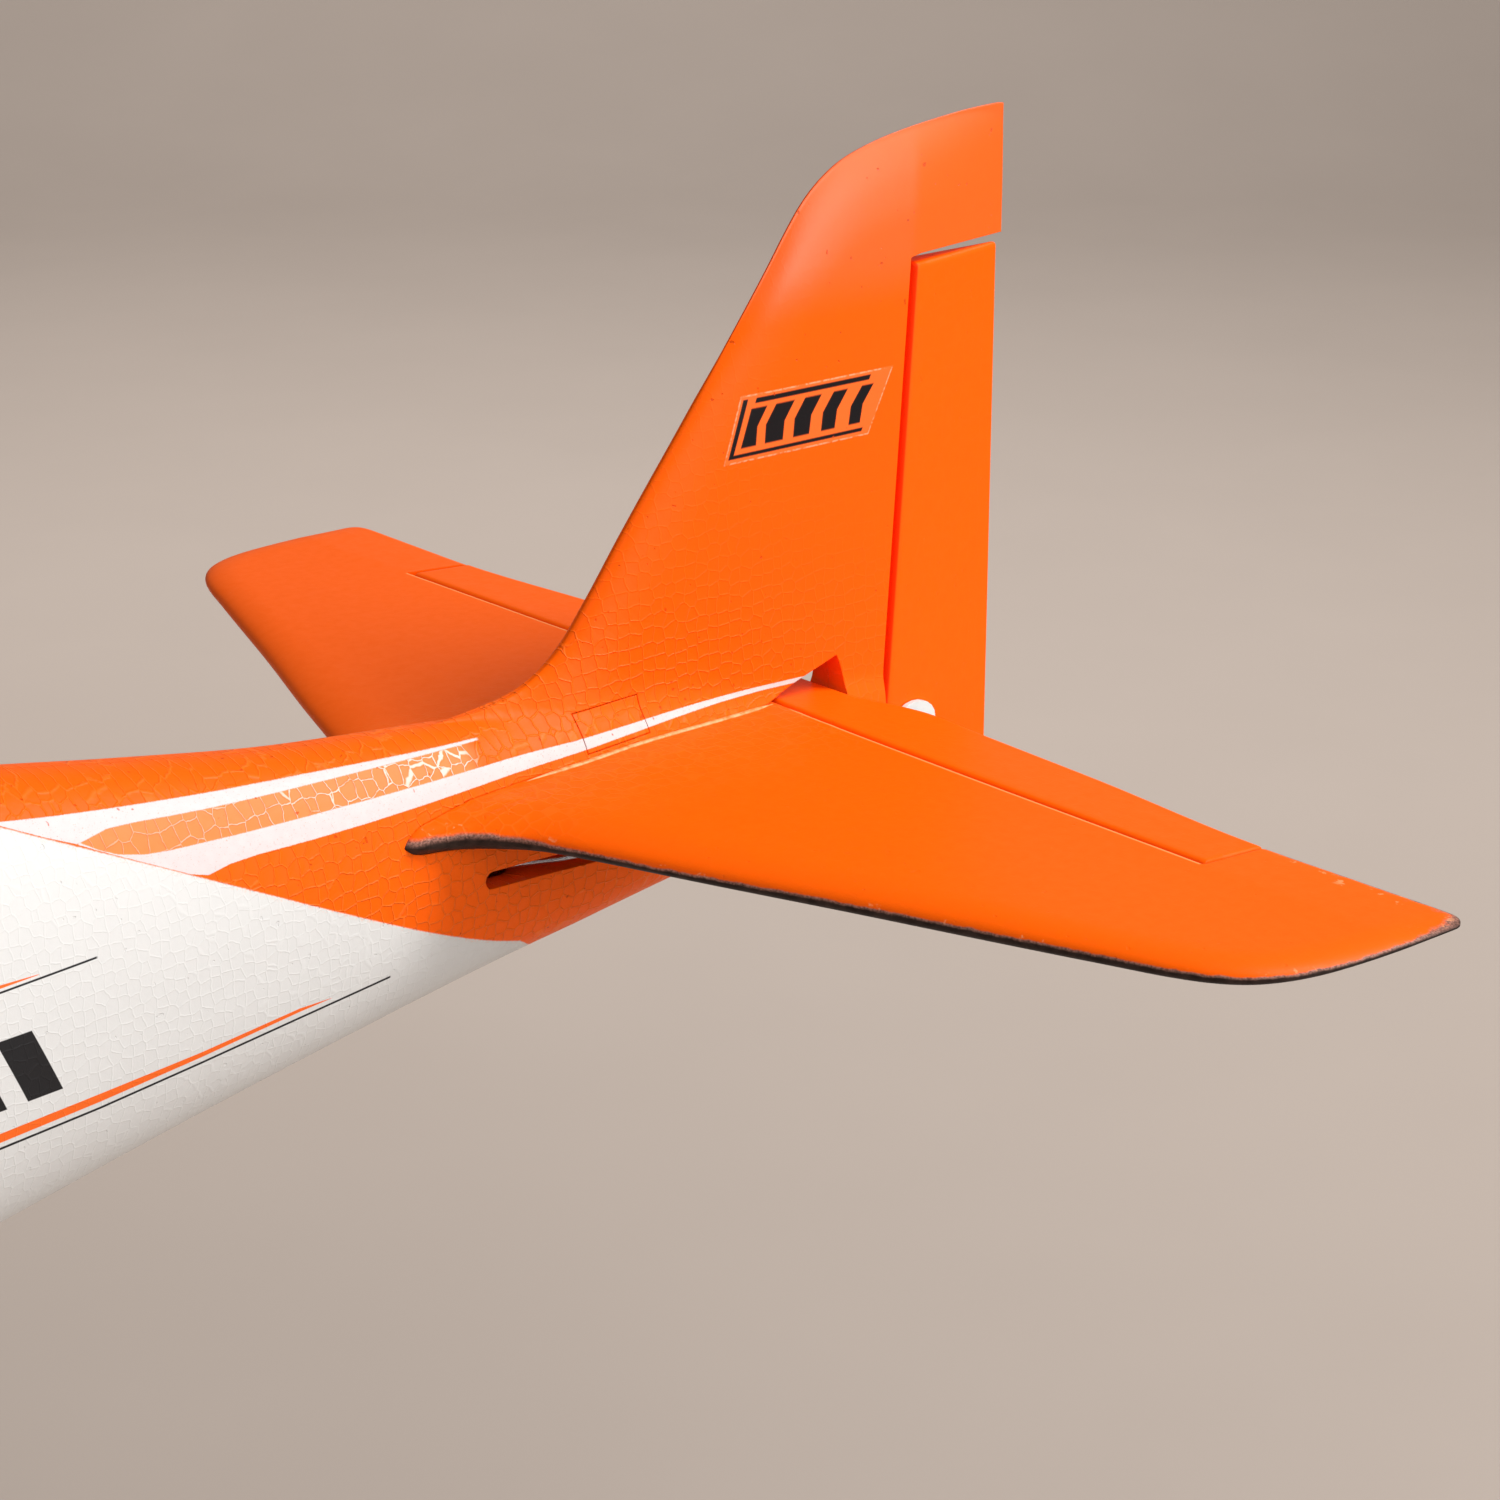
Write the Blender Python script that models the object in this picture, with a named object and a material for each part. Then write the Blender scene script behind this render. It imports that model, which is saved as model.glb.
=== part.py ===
# Foam electric motor glider, 1.5 m span: airframe, tail with rudder and elevator,
# plug-together wing with ailerons, folding propeller, linkages and equipment.
# Station frame used by the design functions: millimetres, x forward from the
# elevator hinge, y to port, z up from the tailplane's chord plane.
# World frame: metres, +X to the nose, +Y to port, +Z up, origin on the underside
# of the belly skid below the wing spar.
import math

import bmesh
import bpy
import numpy as np
from mathutils import Vector

for o in list(bpy.data.objects):
    bpy.data.objects.remove(o)

# ---------------------------------------------------------------- dimensions
X_OFF = 450.0  # station of the world origin (wing spar)
Z_OFF = 91.0  # the skid's underside lies this far below the tailplane
GAP = 0.15  # half of the joint line between the two fuselage shells
WALL = 7.0  # foam wall of the fuselage
SPAN = 1500.0
TAIL_SPAN = 458.0
FIN_TE = -92.2  # trailing edge of fin tip and rudder
RUDDER_TOP = 119.8
FIN_GAP_Z = 122.6
ELEV_AXIS_X = -1.5
ELEV_HALF = 165.4
ARCH_R = 27.0
NOSE_X = 775.0
SHAFT_Z = -26.0
MOTOR_R = 14.0
SPINNER_R = 21.0
BLADE_PIN_Y = 16.0
BLADE_PIN_X = 800.0
BLADE_LEN = 95.0


# ---------------------------------------------------------------- curves
def pchip(xs, ys, x):
    """Smooth curve through a table of stations, without overshoot."""
    xs, ys = np.asarray(xs, float), np.asarray(ys, float)
    x = np.asarray(x, float)
    h = np.diff(xs)
    d = np.diff(ys) / h
    m = np.zeros(len(xs))
    m[0], m[-1] = d[0], d[-1]
    for k in range(1, len(xs) - 1):
        if d[k - 1] * d[k] > 0:
            a, b = 2 * h[k] + h[k - 1], h[k] + 2 * h[k - 1]
            m[k] = (a + b) / (a / d[k - 1] + b / d[k])
    i = np.clip(np.searchsorted(xs, x) - 1, 0, len(h) - 1)
    t = np.clip((x - xs[i]) / h[i], 0, 1)
    t2, t3 = t * t, t * t * t
    return (
        ys[i] * (2 * t3 - 3 * t2 + 1)
        + h[i] * m[i] * (t3 - 2 * t2 + t)
        + ys[i + 1] * (-2 * t3 + 3 * t2)
        + h[i] * m[i + 1] * (t3 - t2)
    )


def table(rows, column):
    rows = np.array(rows, float)
    return lambda x: pchip(rows[:, 0], rows[:, column], x)


def step(x, a, b):
    t = np.clip((np.asarray(x, float) - a) / (b - a), 0, 1)
    return t * t * (3 - 2 * t)


# station, bottom, crown, half width, height of the widest point
BODY = [
    (-100, -32.0, -4.0, 4.6, -14.0),
    (-50, -34.5, 0.5, 6.2, -14.0),
    (0, -37.4, 6.0, 11.2, -14.5),
    (30, -39.6, 10.5, 14.4, -15.0),
    (77, -44.6, 17.5, 18.8, -16.0),
    (112, -48.6, 21.0, 22.4, -16.6),
    (156, -54.6, 25.2, 26.8, -17.6),
    (200, -61.2, 32.2, 30.8, -18.6),
    (244, -68.8, 40.0, 34.6, -19.8),
    (280, -75.6, 44.8, 37.4, -21.2),
    (315, -82.6, 48.6, 39.6, -22.5),
    (360, -87.2, 53.0, 42.0, -23.5),
    (450, -88.0, 58.5, 45.0, -25.0),
    (530, -87.0, 57.0, 44.6, -26.0),
    (600, -81.5, 47.5, 41.2, -26.0),
    (660, -72.5, 33.0, 35.6, -26.0),
    (710, -62.0, 17.5, 29.2, -26.0),
    (745, -53.6, 5.0, 24.4, -26.0),
    (775, -46.0, -6.0, 20.0, -26.0),
]
body_bot, body_top = table(BODY, 1), table(BODY, 2)
body_w, body_zc = table(BODY, 3), table(BODY, 4)

# side-view outline of the spine, fillet, fin leading edge and fin tip
FIN_LINE = [
    (-95.0, 159.6),
    (-92.0, 160.2),
    (-82.7, 159.8),
    (-64.8, 158.0),
    (-48.0, 155.4),
    (-38.7, 153.2),
    (-31.0, 150.6),
    (-25.1, 147.4),
    (-20.0, 143.6),
    (-15.9, 139.6),
    (-10.0, 132.2),
    (-5.2, 125.6),
    (1.8, 116.4),
    (24.0, 88.6),
    (47.6, 59.4),
    (59.9, 43.4),
    (68.6, 33.2),
    (76.0, 27.6),
    (84.0, 23.9),
    (94.0, 21.9),
    (104.0, 21.2),
    (112.0, 21.0),
]
fin_line = table(FIN_LINE, 1)
_fx = np.concatenate([np.linspace(-95, -40, 30), np.linspace(-39, 112, 150)])
_FIN_POLY = np.stack([_fx, fin_line(_fx)], 1)


def outline_top(x):
    x = np.asarray(x, float)
    return np.where(x < 112, fin_line(np.minimum(x, 112)), body_top(x))


def poly_distance(poly, x, z):
    """Distance from points to a polyline."""
    p = np.stack([np.asarray(x, float).ravel(), np.asarray(z, float).ravel()], 1)
    best = np.full(len(p), 1e9)
    for a, b in zip(poly[:-1], poly[1:]):
        ab = b - a
        t = np.clip(((p - a) @ ab) / (ab @ ab), 0, 1)
        best = np.minimum(best, np.hypot(*(p - a - t[:, None] * ab).T))
    return best.reshape(np.shape(x))


def round_in(d, r):
    """Elliptic rounding: 0 at the edge, 1 at r inwards."""
    return np.sqrt(np.clip(1 - (1 - np.clip(d / r, 0, 1)) ** 2, 0, 1))


def hinge_x(z):
    """Rudder hinge line."""
    return -44.2 - 0.0854 * (np.asarray(z, float) + 7.6)


def fin_half(z):
    return pchip([-60, 0, 20, 120, 162], [6.2, 6.2, 6.0, 4.7, 4.2], z)


def skin(x, z):
    """Half width of fuselage and fin at a point of the side view."""
    x, z = np.broadcast_arrays(np.asarray(x, float), np.asarray(z, float))
    bot, top, zc, w = body_bot(x), body_top(x), body_zc(x), body_w(x)
    up = z > zc
    h = np.where(up, top - zc, zc - bot)
    zeta = np.abs(z - zc) / h
    n = np.where(up, 2.15, 2.4) - 0.0 * x
    n = n + (2.0 - n) * step(x, 690, 770)
    q = 1 - zeta**n
    finny = 1 - step(x, 62, 112)
    k = 0.22 * finny * up
    soft = (q + np.sqrt(q * q + k * k)) / 2
    soft = np.where(up, soft, np.clip(q, 0, None))
    base = w * np.power(np.clip(soft, 0, None), 1 / n)
    d = poly_distance(_FIN_POLY, x, z)
    edge = 1 - finny * (1 - np.minimum(round_in(d, 14.0), 1))
    base = base * np.where(up, edge, 1)
    aft = np.clip((hinge_x(z) - x) / (hinge_x(z) - FIN_TE), 0, 1.05)
    r_tip = 19 + 12 * step(z, 118, 150)
    fin = fin_half(z) * round_in(d, r_tip) * (1 - 0.84 * aft)
    fin = fin * (1 - step(x, 70, 112)) * round_in(z - bot, 14.0)
    return np.sqrt(base**2 + fin**2)


# tailplane: leading edge in plan, from root to tip, then the raked tip
STAB_LE = [
    (0, 137.0),
    (24.4, 137.0),
    (26.2, 126.5),
    (33.3, 117.2),
    (41.0, 110.8),
    (49.4, 107.2),
    (57.7, 104.1),
    (85.7, 94.0),
    (127.0, 78.3),
    (184.8, 57.4),
    (203.0, 50.6),
    (211.0, 46.2),
    (217.0, 41.0),
    (221.5, 34.0),
    (225.0, 24.0),
    (227.4, 8.0),
    (228.6, -10.0),
    (229.0, -20.0),
]
STAB_TE = [
    (0, -28.0),
    (18.0, -28.0),
    (26.0, -31.4),
    (38.0, -33.2),
    (59.0, -31.8),
    (105.0, -28.9),
    (166.0, -23.6),
    (200.0, -24.2),
    (222.0, -24.6),
    (229.0, -24.0),
]
stab_le, stab_te = table(STAB_LE, 1), table(STAB_TE, 1)
_sy = np.concatenate([[24.4, 24.9, 25.5, 26.2, 27.4], np.linspace(29.0, 205, 38), np.linspace(206, 229, 30)])
_STAB_POLY = np.stack([stab_le(_sy), _sy], 1)
_STAB_POLY = np.vstack([[(137.0, 0.0)], _STAB_POLY, [(-24.0, 229.0)]])


def stab_half(x, y):
    """Half thickness of tailplane and elevator at a point of the plan."""
    x, y = np.broadcast_arrays(np.asarray(x, float), np.abs(np.asarray(y, float)))
    full = pchip([0, 14, 26, 45, 80, 165, 230], [6.2, 6.1, 5.8, 5.3, 4.8, 4.1, 3.5], y)
    d = poly_distance(_STAB_POLY, x, y)
    r = 17 - 6 * step(y, 30, 160)
    fore = 1 - 0.34 * step(x, 62, -2)
    aft = np.clip(-x / 29.0, 0, 1.1)
    return full * round_in(d, r) * fore * (1 - 0.74 * aft)


# wing: y, leading edge, trailing edge, height of the flat underside, thickness ratio
WING = [
    (0, 530.0, 315.0, -88.0, 0.112),
    (46, 530.0, 315.0, -88.0, 0.112),
    (110, 527.5, 317.6, -83.6, 0.11),
    (300, 518.0, 327.0, -70.4, 0.105),
    (540, 499.0, 341.0, -52.0, 0.10),
    (575, 494.0, 344.0, -47.2, 0.10),
    (660, 474.0, 352.0, -26.0, 0.095),
    (715, 450.0, 359.0, -11.0, 0.09),
    (740, 426.0, 365.0, -3.6, 0.085),
    (750, 400.0, 372.0, 0.5, 0.08),
]
wing_le, wing_te = table(WING, 1), table(WING, 2)
wing_z, wing_t = table(WING, 3), table(WING, 4)
AIL_Y0, AIL_Y1 = 300.0, 530.0


def wing_surfaces(y, s):
    """x, lower z and upper z of the wing at share s of the chord from the nose."""
    y = abs(y)
    le, te, z0, t = wing_le(y), wing_te(y), wing_z(y), wing_t(y)
    c = le - te
    s = np.asarray(s, float)
    yt = 5 * t * (0.2969 * np.sqrt(s) - 0.126 * s - 0.3516 * s**2 + 0.2843 * s**3 - 0.1015 * s**4)
    m, p = 0.036, 0.4
    yc = np.where(s < p, m / p**2 * (2 * p * s - s * s), m / (1 - p) ** 2 * (1 - 2 * p + 2 * p * s - s * s))
    low = np.where(s < 0.3, 0.018 * (1 - s / 0.3) ** 2 * 1.0, 0.0) * c * (t / 0.11)
    nose = 0.026 * c
    lower = z0 + np.where(s < 0.3, nose * (1 - np.sqrt(np.clip(1 - (1 - s / 0.3) ** 2, 0, 1))) + low * 0.4, 0)
    upper = z0 + nose * 1.28 * (1 - s) ** 3 + (yt + yc) * c * 0.94 * (1 - 0.12 * (1 - s)) + 0.9
    upper = np.where(s <= 0, lower, upper)
    return le - s * c, lower, np.maximum(upper, lower + np.where(s <= 0, 0, 0.2))


def hinge_ail(y):
    """x of the aileron hinge line."""
    y = abs(y)
    return 366.0 + (y - AIL_Y0) * (374.5 - 366.0) / (AIL_Y1 - AIL_Y0)


# ---------------------------------------------------------------- materials
def material(name, colour, roughness=0.5, metallic=0.0):
    m = bpy.data.materials.new(name)
    m.use_nodes = True
    b = m.node_tree.nodes["Principled BSDF"]
    b.inputs["Base Color"].default_value = (*colour, 1)
    b.inputs["Roughness"].default_value = roughness
    b.inputs["Metallic"].default_value = metallic
    return m


ORANGE = material("orange_foam", (0.95, 0.2, 0.0), 0.45)
WHITE = material("white_foam", (0.86, 0.85, 0.83), 0.55)
BLACKP = material("black_plastic", (0.03, 0.03, 0.035), 0.4)
WHITEP = material("white_plastic", (0.85, 0.85, 0.84), 0.35)
CARBON = material("carbon", (0.04, 0.04, 0.045), 0.35)
STEEL = material("steel_wire", (0.6, 0.6, 0.62), 0.25, 1.0)
ALU = material("aluminium", (0.75, 0.75, 0.77), 0.3, 1.0)
SERVO = material("servo_case", (0.05, 0.05, 0.06), 0.35)
BLUE = material("battery_wrap", (0.05, 0.08, 0.3), 0.4)
GREEN = material("electronics", (0.04, 0.04, 0.05), 0.5)


# ---------------------------------------------------------------- mesh helpers
def world(p):
    p = np.asarray(p, float)
    return (p - np.array([X_OFF, 0, -Z_OFF])) * 0.001


def make(name, verts, faces, mat, origin=None, smooth=40, cutter=False):
    """A named object from station-frame points; origin is a station-frame point."""
    verts = world(np.array(verts, float).reshape(-1, 3))
    o0 = world(origin) if origin is not None else np.zeros(3)
    mesh = bpy.data.meshes.new(name)
    mesh.from_pydata([tuple(v - o0) for v in verts], [], [tuple(f) for f in faces])
    bm = bmesh.new()
    bm.from_mesh(mesh)
    bmesh.ops.remove_doubles(bm, verts=bm.verts, dist=1e-6)
    bmesh.ops.recalc_face_normals(bm, faces=bm.faces)
    if bm.calc_volume(signed=True) < 0:
        bmesh.ops.reverse_faces(bm, faces=bm.faces)
    bm.to_mesh(mesh)
    bm.free()
    obj = bpy.data.objects.new(name, mesh)
    bpy.context.scene.collection.objects.link(obj)
    obj.location = Vector(o0)
    if mat:
        mesh.materials.append(mat)
    if cutter:
        obj.hide_render = True
        obj.display_type = "WIRE"
    elif smooth:
        mesh.shade_smooth()
        mesh.set_sharp_from_angle(angle=math.radians(smooth))
    return obj


def pillow(P, Q):
    """Closed skin from an upper and a lower grid of points, sharing the rim points that coincide."""
    P, Q = np.asarray(P, float), np.asarray(Q, float)
    n, m = P.shape[:2]
    verts, top, low = [], np.zeros((n, m), int), np.zeros((n, m), int)
    for i in range(n):
        for j in range(m):
            top[i, j] = len(verts)
            verts.append(P[i, j])
            if np.linalg.norm(P[i, j] - Q[i, j]) < 1e-4:
                low[i, j] = top[i, j]
            else:
                low[i, j] = len(verts)
                verts.append(Q[i, j])
    faces = []
    for i in range(n - 1):
        for j in range(m - 1):
            for k, turn in ((top, 1), (low, -1)):
                a, b, c, d = k[i, j], k[i + 1, j], k[i + 1, j + 1], k[i, j + 1]
                faces += [[a, b, c][::turn], [a, c, d][::turn]]
    rim = (
        [(0, j) for j in range(m)]
        + [(i, m - 1) for i in range(1, n)]
        + [(n - 1, j) for j in range(m - 2, -1, -1)]
        + [(i, 0) for i in range(n - 2, 0, -1)]
    )
    for a, b in zip(rim, rim[1:] + rim[:1]):
        f = []
        for v in (top[a], top[b], low[b], low[a]):
            if v not in f:
                f.append(v)
        if len(f) > 2:
            faces.append(f)
    return verts, faces


def loft(rings):
    """Closed rings of equal count, with flat end caps."""
    n = len(rings[0])
    verts = [p for r in rings for p in r]
    faces = [list(range(n))[::-1], [len(verts) - n + k for k in range(n)]]
    for i in range(len(rings) - 1):
        for k in range(n):
            a, b = i * n + k, i * n + (k + 1) % n
            faces.append([a, b, b + n, a + n])
    return verts, faces


def prism(points, plane, lo, hi):
    """Outline of 2-D points extruded along the axis that plane leaves out."""
    put = {
        "xz": lambda a, b, c: (a, c, b),
        "xy": lambda a, b, c: (a, b, c),
        "yz": lambda a, b, c: (c, a, b),
    }[plane]
    return loft([[put(a, b, lo) for a, b in points], [put(a, b, hi) for a, b in points]])


def box(lo, hi):
    (x0, y0, z0), (x1, y1, z1) = lo, hi
    return prism([(x0, y0), (x1, y0), (x1, y1), (x0, y1)], "xy", z0, z1)


def rounded(x0, z0, x1, z1, r, n=4):
    """Rounded rectangle outline."""
    pts = []
    for cx, cz, a0 in ((x1 - r, z0 + r, -90), (x1 - r, z1 - r, 0), (x0 + r, z1 - r, 90), (x0 + r, z0 + r, 180)):
        for k in range(n + 1):
            a = math.radians(a0 + 90 * k / n)
            pts.append((cx + r * math.cos(a), cz + r * math.sin(a)))
    return pts


def disc(cx, cz, r, n=16, a0=0.0, a1=360.0):
    full = abs(a1 - a0 - 360) < 1e-6
    k = n if full else n + 1
    return [
        (cx + r * math.cos(math.radians(a0 + (a1 - a0) * i / n)), cz + r * math.sin(math.radians(a0 + (a1 - a0) * i / n)))
        for i in range(k)
    ]


def turned(profile, centre, axis, n=24):
    """Lathe: profile of (along, radius) pairs about an axis through centre."""
    axis = np.array(axis, float)
    axis /= np.linalg.norm(axis)
    side = np.cross(axis, [0, 0, 1.0])
    if np.linalg.norm(side) < 1e-6:
        side = np.array([0, 1.0, 0])
    side /= np.linalg.norm(side)
    other = np.cross(axis, side)
    verts, rows = [], []
    for a, r in profile:
        c = np.array(centre, float) + axis * a
        if r < 1e-6:
            rows.append([len(verts)] * n)
            verts.append(c)
        else:
            rows.append(list(range(len(verts), len(verts) + n)))
            for k in range(n):
                t = 2 * math.pi * k / n
                verts.append(c + r * (math.cos(t) * side + math.sin(t) * other))
    faces = []
    closed = profile[0][1] > 1e-6 and profile[-1][1] > 1e-6
    pairs = list(zip(rows[:-1], rows[1:]))
    if closed:
        pairs.append((rows[-1], rows[0]))
    for r0, r1 in pairs:
        for k in range(n):
            f = []
            for v in (r0[k], r0[(k + 1) % n], r1[(k + 1) % n], r1[k]):
                if v not in f:
                    f.append(v)
            if len(f) > 2:
                faces.append(f)
    return verts, faces


def rod(p0, p1, r, n=10, t0=0.0):
    d = np.array(p1, float) - np.array(p0, float)
    return turned([(0, 0), (0, r), (np.linalg.norm(d), r), (np.linalg.norm(d), 0)], p0, d, n)


def boolean(obj, other, op="DIFFERENCE"):
    m = obj.modifiers.new(other.name, "BOOLEAN")
    m.operation = op
    m.solver = "EXACT"
    m.object = other
    return obj


def cut(obj, name, shape):
    return boolean(obj, make(name, *shape, None, cutter=True))


def fuse(obj, name, shape):
    return boolean(obj, make(name, *shape, None, cutter=True), "UNION")


def wire(name, points, r, mat, origin=None, sides=2):
    """A bent wire: a smooth poly curve through the given points."""
    pts = np.array(points, float)
    t = np.concatenate([[0], np.cumsum(np.linalg.norm(np.diff(pts, axis=0), axis=1))])
    n = max(3, min(60, int(t[-1] / 12) + 2))
    u = np.unique(np.concatenate([np.linspace(0, t[-1], n), t]))
    line = np.stack([pchip(t, pts[:, k], u) for k in range(3)], 1)
    o0 = world(origin) if origin is not None else np.zeros(3)
    line = world(line) - o0
    curve = bpy.data.curves.new(name, "CURVE")
    curve.dimensions = "3D"
    spline = curve.splines.new("POLY")
    spline.points.add(len(line) - 1)
    for p, q in zip(spline.points, line):
        p.co = (*q, 1)
    curve.bevel_depth = r * 0.001
    curve.bevel_resolution = sides
    curve.use_fill_caps = True
    curve.materials.append(mat)
    obj = bpy.data.objects.new(name, curve)
    bpy.context.scene.collection.objects.link(obj)
    obj.location = Vector(o0)
    return obj


# ---------------------------------------------------------------- fuselage and fin
def floor_z(x):
    """Lowest height of the equipment bay: over the wing it is a flat deck."""
    deck = -58.0
    low = body_bot(x) + WALL
    inside = step(x, 292, 306) * (1 - step(x, 540, 554))
    return low + (np.maximum(low, deck) - low) * inside


def bay(x, z):
    """Half width of the hollow inside a shell."""
    wall = WALL - 2.6 * step(x, 690, 745)
    w = skin(x, z) - wall
    w = np.minimum(w, (z - floor_z(x)) * 70.0)
    w = w * step(x, 82, 102)
    return np.clip(w, 0, None)


def shell_grid(xs, n_low, n_high):
    zs = []
    for x in xs:
        zb, zt, bt = float(body_bot(x)), float(outline_top(x)), float(body_top(x))
        split = min(bt + 5.0, zb + 0.66 * (zt - zb))
        fl = float(floor_z(x))
        a = np.linspace(0, 1, n_low - 3) ** 1.15
        low = np.concatenate([[zb, zb + 0.7, zb + 2.6, (zb + 2.6 + fl) / 2], fl + (split - fl) * a])
        low[5] = fl + 0.8
        b = np.linspace(0, 1, n_high + 1)[1:]
        high = split + (zt - split) * np.sin(b * math.pi / 2) ** 1.05
        zs.append(np.concatenate([low, high]))
    return np.array(zs)


def shell(side, xs, n_low, n_high):
    zs = shell_grid(xs, n_low, n_high)
    X = np.repeat(np.array(xs)[:, None], zs.shape[1], 1)
    outer = np.maximum(skin(X, zs), GAP)
    outer[:, 0] = outer[:, -1] = GAP
    outer[:, 1:-1] = np.maximum(outer[:, 1:-1], GAP + 0.35)
    inner = np.minimum(np.maximum(bay(X, zs), GAP), outer - 0.3)
    inner[:, 0] = inner[:, -1] = GAP
    P = np.stack([X, side * outer, zs], 2)
    Q = np.stack([X, side * inner, zs], 2)
    return pillow(P, Q)


SHELL_X = (
    list(np.linspace(-93.6, -44, 6))
    + list(np.linspace(-34, 62, 12))
    + [68, 74, 81, 89, 98, 110, 122, 140, 165, 200, 240, 285, 300, 315, 350, 390, 430, 470, 505, 535, 546, 560, 590, 625, 660, 690, 715, 735, 755, 775]
)

rudder_zone = [
    (hinge_x(-60) + 1.2, -60),
    (hinge_x(121.6) + 1.2, 121.6),
    (hinge_x(121.6) - 3.0, 122.3),
    (-96, 123.4),
    (-110, 123.4),
    (-110, -60),
]
ARCH_A = 26.5
arch_zone = (
    [(12.0, 2.0), (ELEV_AXIS_X, 5.2)]
    + disc(ELEV_AXIS_X, 0, ARCH_R, 8, 180 - ARCH_A, 180 + ARCH_A)
    + [(ELEV_AXIS_X, -5.2), (12.0, -2.0)]
)
canopy_zone = [(452, 80), (474, 27), (698, -3), (722, 16), (722, 80)]


def grow(points, g):
    """Outline moved outwards by g (convex outline, either way round)."""
    c = np.mean(points, 0)
    pts = [np.array(p, float) for p in points]
    out = []
    n = len(pts)
    area = sum(pts[i][0] * pts[(i + 1) % n][1] - pts[(i + 1) % n][0] * pts[i][1] for i in range(n))
    s = 1 if area > 0 else -1
    for i in range(n):
        a, b, c2 = pts[i - 1], pts[i], pts[(i + 1) % n]
        n1 = np.array([(b - a)[1], -(b - a)[0]]) * s
        n2 = np.array([(c2 - b)[1], -(c2 - b)[0]]) * s
        n1, n2 = n1 / np.linalg.norm(n1), n2 / np.linalg.norm(n2)
        k = (n1 + n2) / (1 + n1 @ n2)
        out.append(tuple(b + g * k))
    return out


def wing_grid(side, ys, s, grow_by=0.0):
    P, Q = [], []
    for y in ys:
        x, lo, up = wing_surfaces(y, s)
        yy = side * max(y, GAP)
        P.append(np.stack([x, np.full_like(x, yy), up + grow_by], 1))
        Q.append(np.stack([x, np.full_like(x, yy), lo], 1))
    return np.array(P), np.array(Q)


# what the wing takes out of the fuselage: its upper surface plus clearance, and everything below
CHORD = 0.5 - 0.5 * np.cos(np.linspace(0, 1, 13) * math.pi)
cx, clo, cup = wing_surfaces(0, CHORD)
cup = cup + 0.35
cup[0], cup[-1] = cup[1] * 0.4 + cup[0] * 0.6 + 1.0, cup[-1] + 0.6
saddle_line = [(530.6, cup[0])] + [(a, b) for a, b in zip(cx[1:-1], cup[1:-1])] + [(314.2, cup[-1]), (314.2, -130), (530.6, -130)]
CUT_WING = make("cut_wing_saddle", *prism(saddle_line, "xz", -70, 70), None, cutter=True)
CUT_RUDDER = make("cut_rudder", *prism(rudder_zone, "xz", -30, 30), None, cutter=True)
CUT_ARCH = make("cut_elevator_arch", *prism(arch_zone, "xz", -40, 40), None, cutter=True)
CUT_CANOPY = make("cut_canopy", *prism(canopy_zone, "xz", -80, 80), None, cutter=True)

# what the tailplane takes out: its own form plus clearance
STAB_X = np.array([0, 0.03, 0.09, 0.18, 0.3, 0.45, 0.62, 0.8, 1.0])


def stab_solid(ys, g=0.0):
    P, Q = [], []
    for y in ys:
        le, te = float(stab_le(abs(y))), float(stab_te(abs(y)))
        x = le + (te - le) * STAB_X
        h = stab_half(x, y)
        h[0] = 0
        h[1:] = np.maximum(h[1:], 0.25)
        if g:
            x, h = np.append(x[:7], -0.4), np.append(h[:7], h[7] + 0.3) + g
            x[0] += 2 * g
            h[0] = 0.5 * h[1]
        P.append(np.stack([x, np.full_like(x, y), h], 1))
        Q.append(np.stack([x, np.full_like(x, y), -h], 1))
    return np.array(P), np.array(Q)


cut_stab = stab_solid(np.array([-45, -36, -29.5, -25.5, -23, -10, 0, 10, 23, 25.5, 29.5, 36, 45.0]), 0.35)
CUT_STAB = make("cut_stab_slot", *pillow(*cut_stab), None, cutter=True)

SLOT = (
    [(109.0 + 2.1 * math.cos(a), -16.1 + 2.1 * math.sin(a)) for a in np.linspace(math.pi / 2, -math.pi / 2, 5)]
    + [(44.0, -23.2), (44.0, -19.0)]
)
INSERT = (48.4, 71.4, 7.6, 16.8)  # moulded filler piece over the tailplane slot, in side view


def insert_patch(side, g, y_in, y_out):
    """Skin-following block: g is the clearance to its recess, y_in and y_out are measured from the skin."""
    x0, x1, z0, z1 = INSERT
    P, Q = [], []
    for x in np.linspace(x0 - g, x1 + g, 5):
        zs = np.linspace(z0 - g, z1 + g, 5)
        zs = np.minimum(zs, outline_top(x) - 1.2)
        h = skin(x, zs)
        P.append([(x, side * max(a + y_out, 1.0), z) for a, z in zip(h, zs)])
        Q.append([(x, side * max(a - y_in, 0.9), z) for a, z in zip(h, zs)])
    return pillow(P, Q)



for side, name in ((1, "fuselage_left"), (-1, "fuselage_right")):
    shape = shell(side, SHELL_X, 9, 7)
    obj = make(name, *shape, WHITE, smooth=50)
    boolean(obj, CUT_RUDDER)
    boolean(obj, CUT_WING)
    boolean(obj, CUT_STAB)
    boolean(obj, CUT_ARCH)
    boolean(obj, CUT_CANOPY)
    lo, hi = (9.0, 60.0) if side > 0 else (-60.0, -9.0)
    cut(obj, f"cut_pushrod_slot_{name}", prism(SLOT, "xz", lo, hi))
    cut(obj, f"cut_insert_{name}", insert_patch(side, 0.3, 3.6, 6.0))

# fillers that close the slot over the tailplane on each side
for side, name in ((1, "tail_insert_left"), (-1, "tail_insert_right")):
    make(name, *insert_patch(side, 0.0, 3.3, 0.0), ORANGE)



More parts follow.
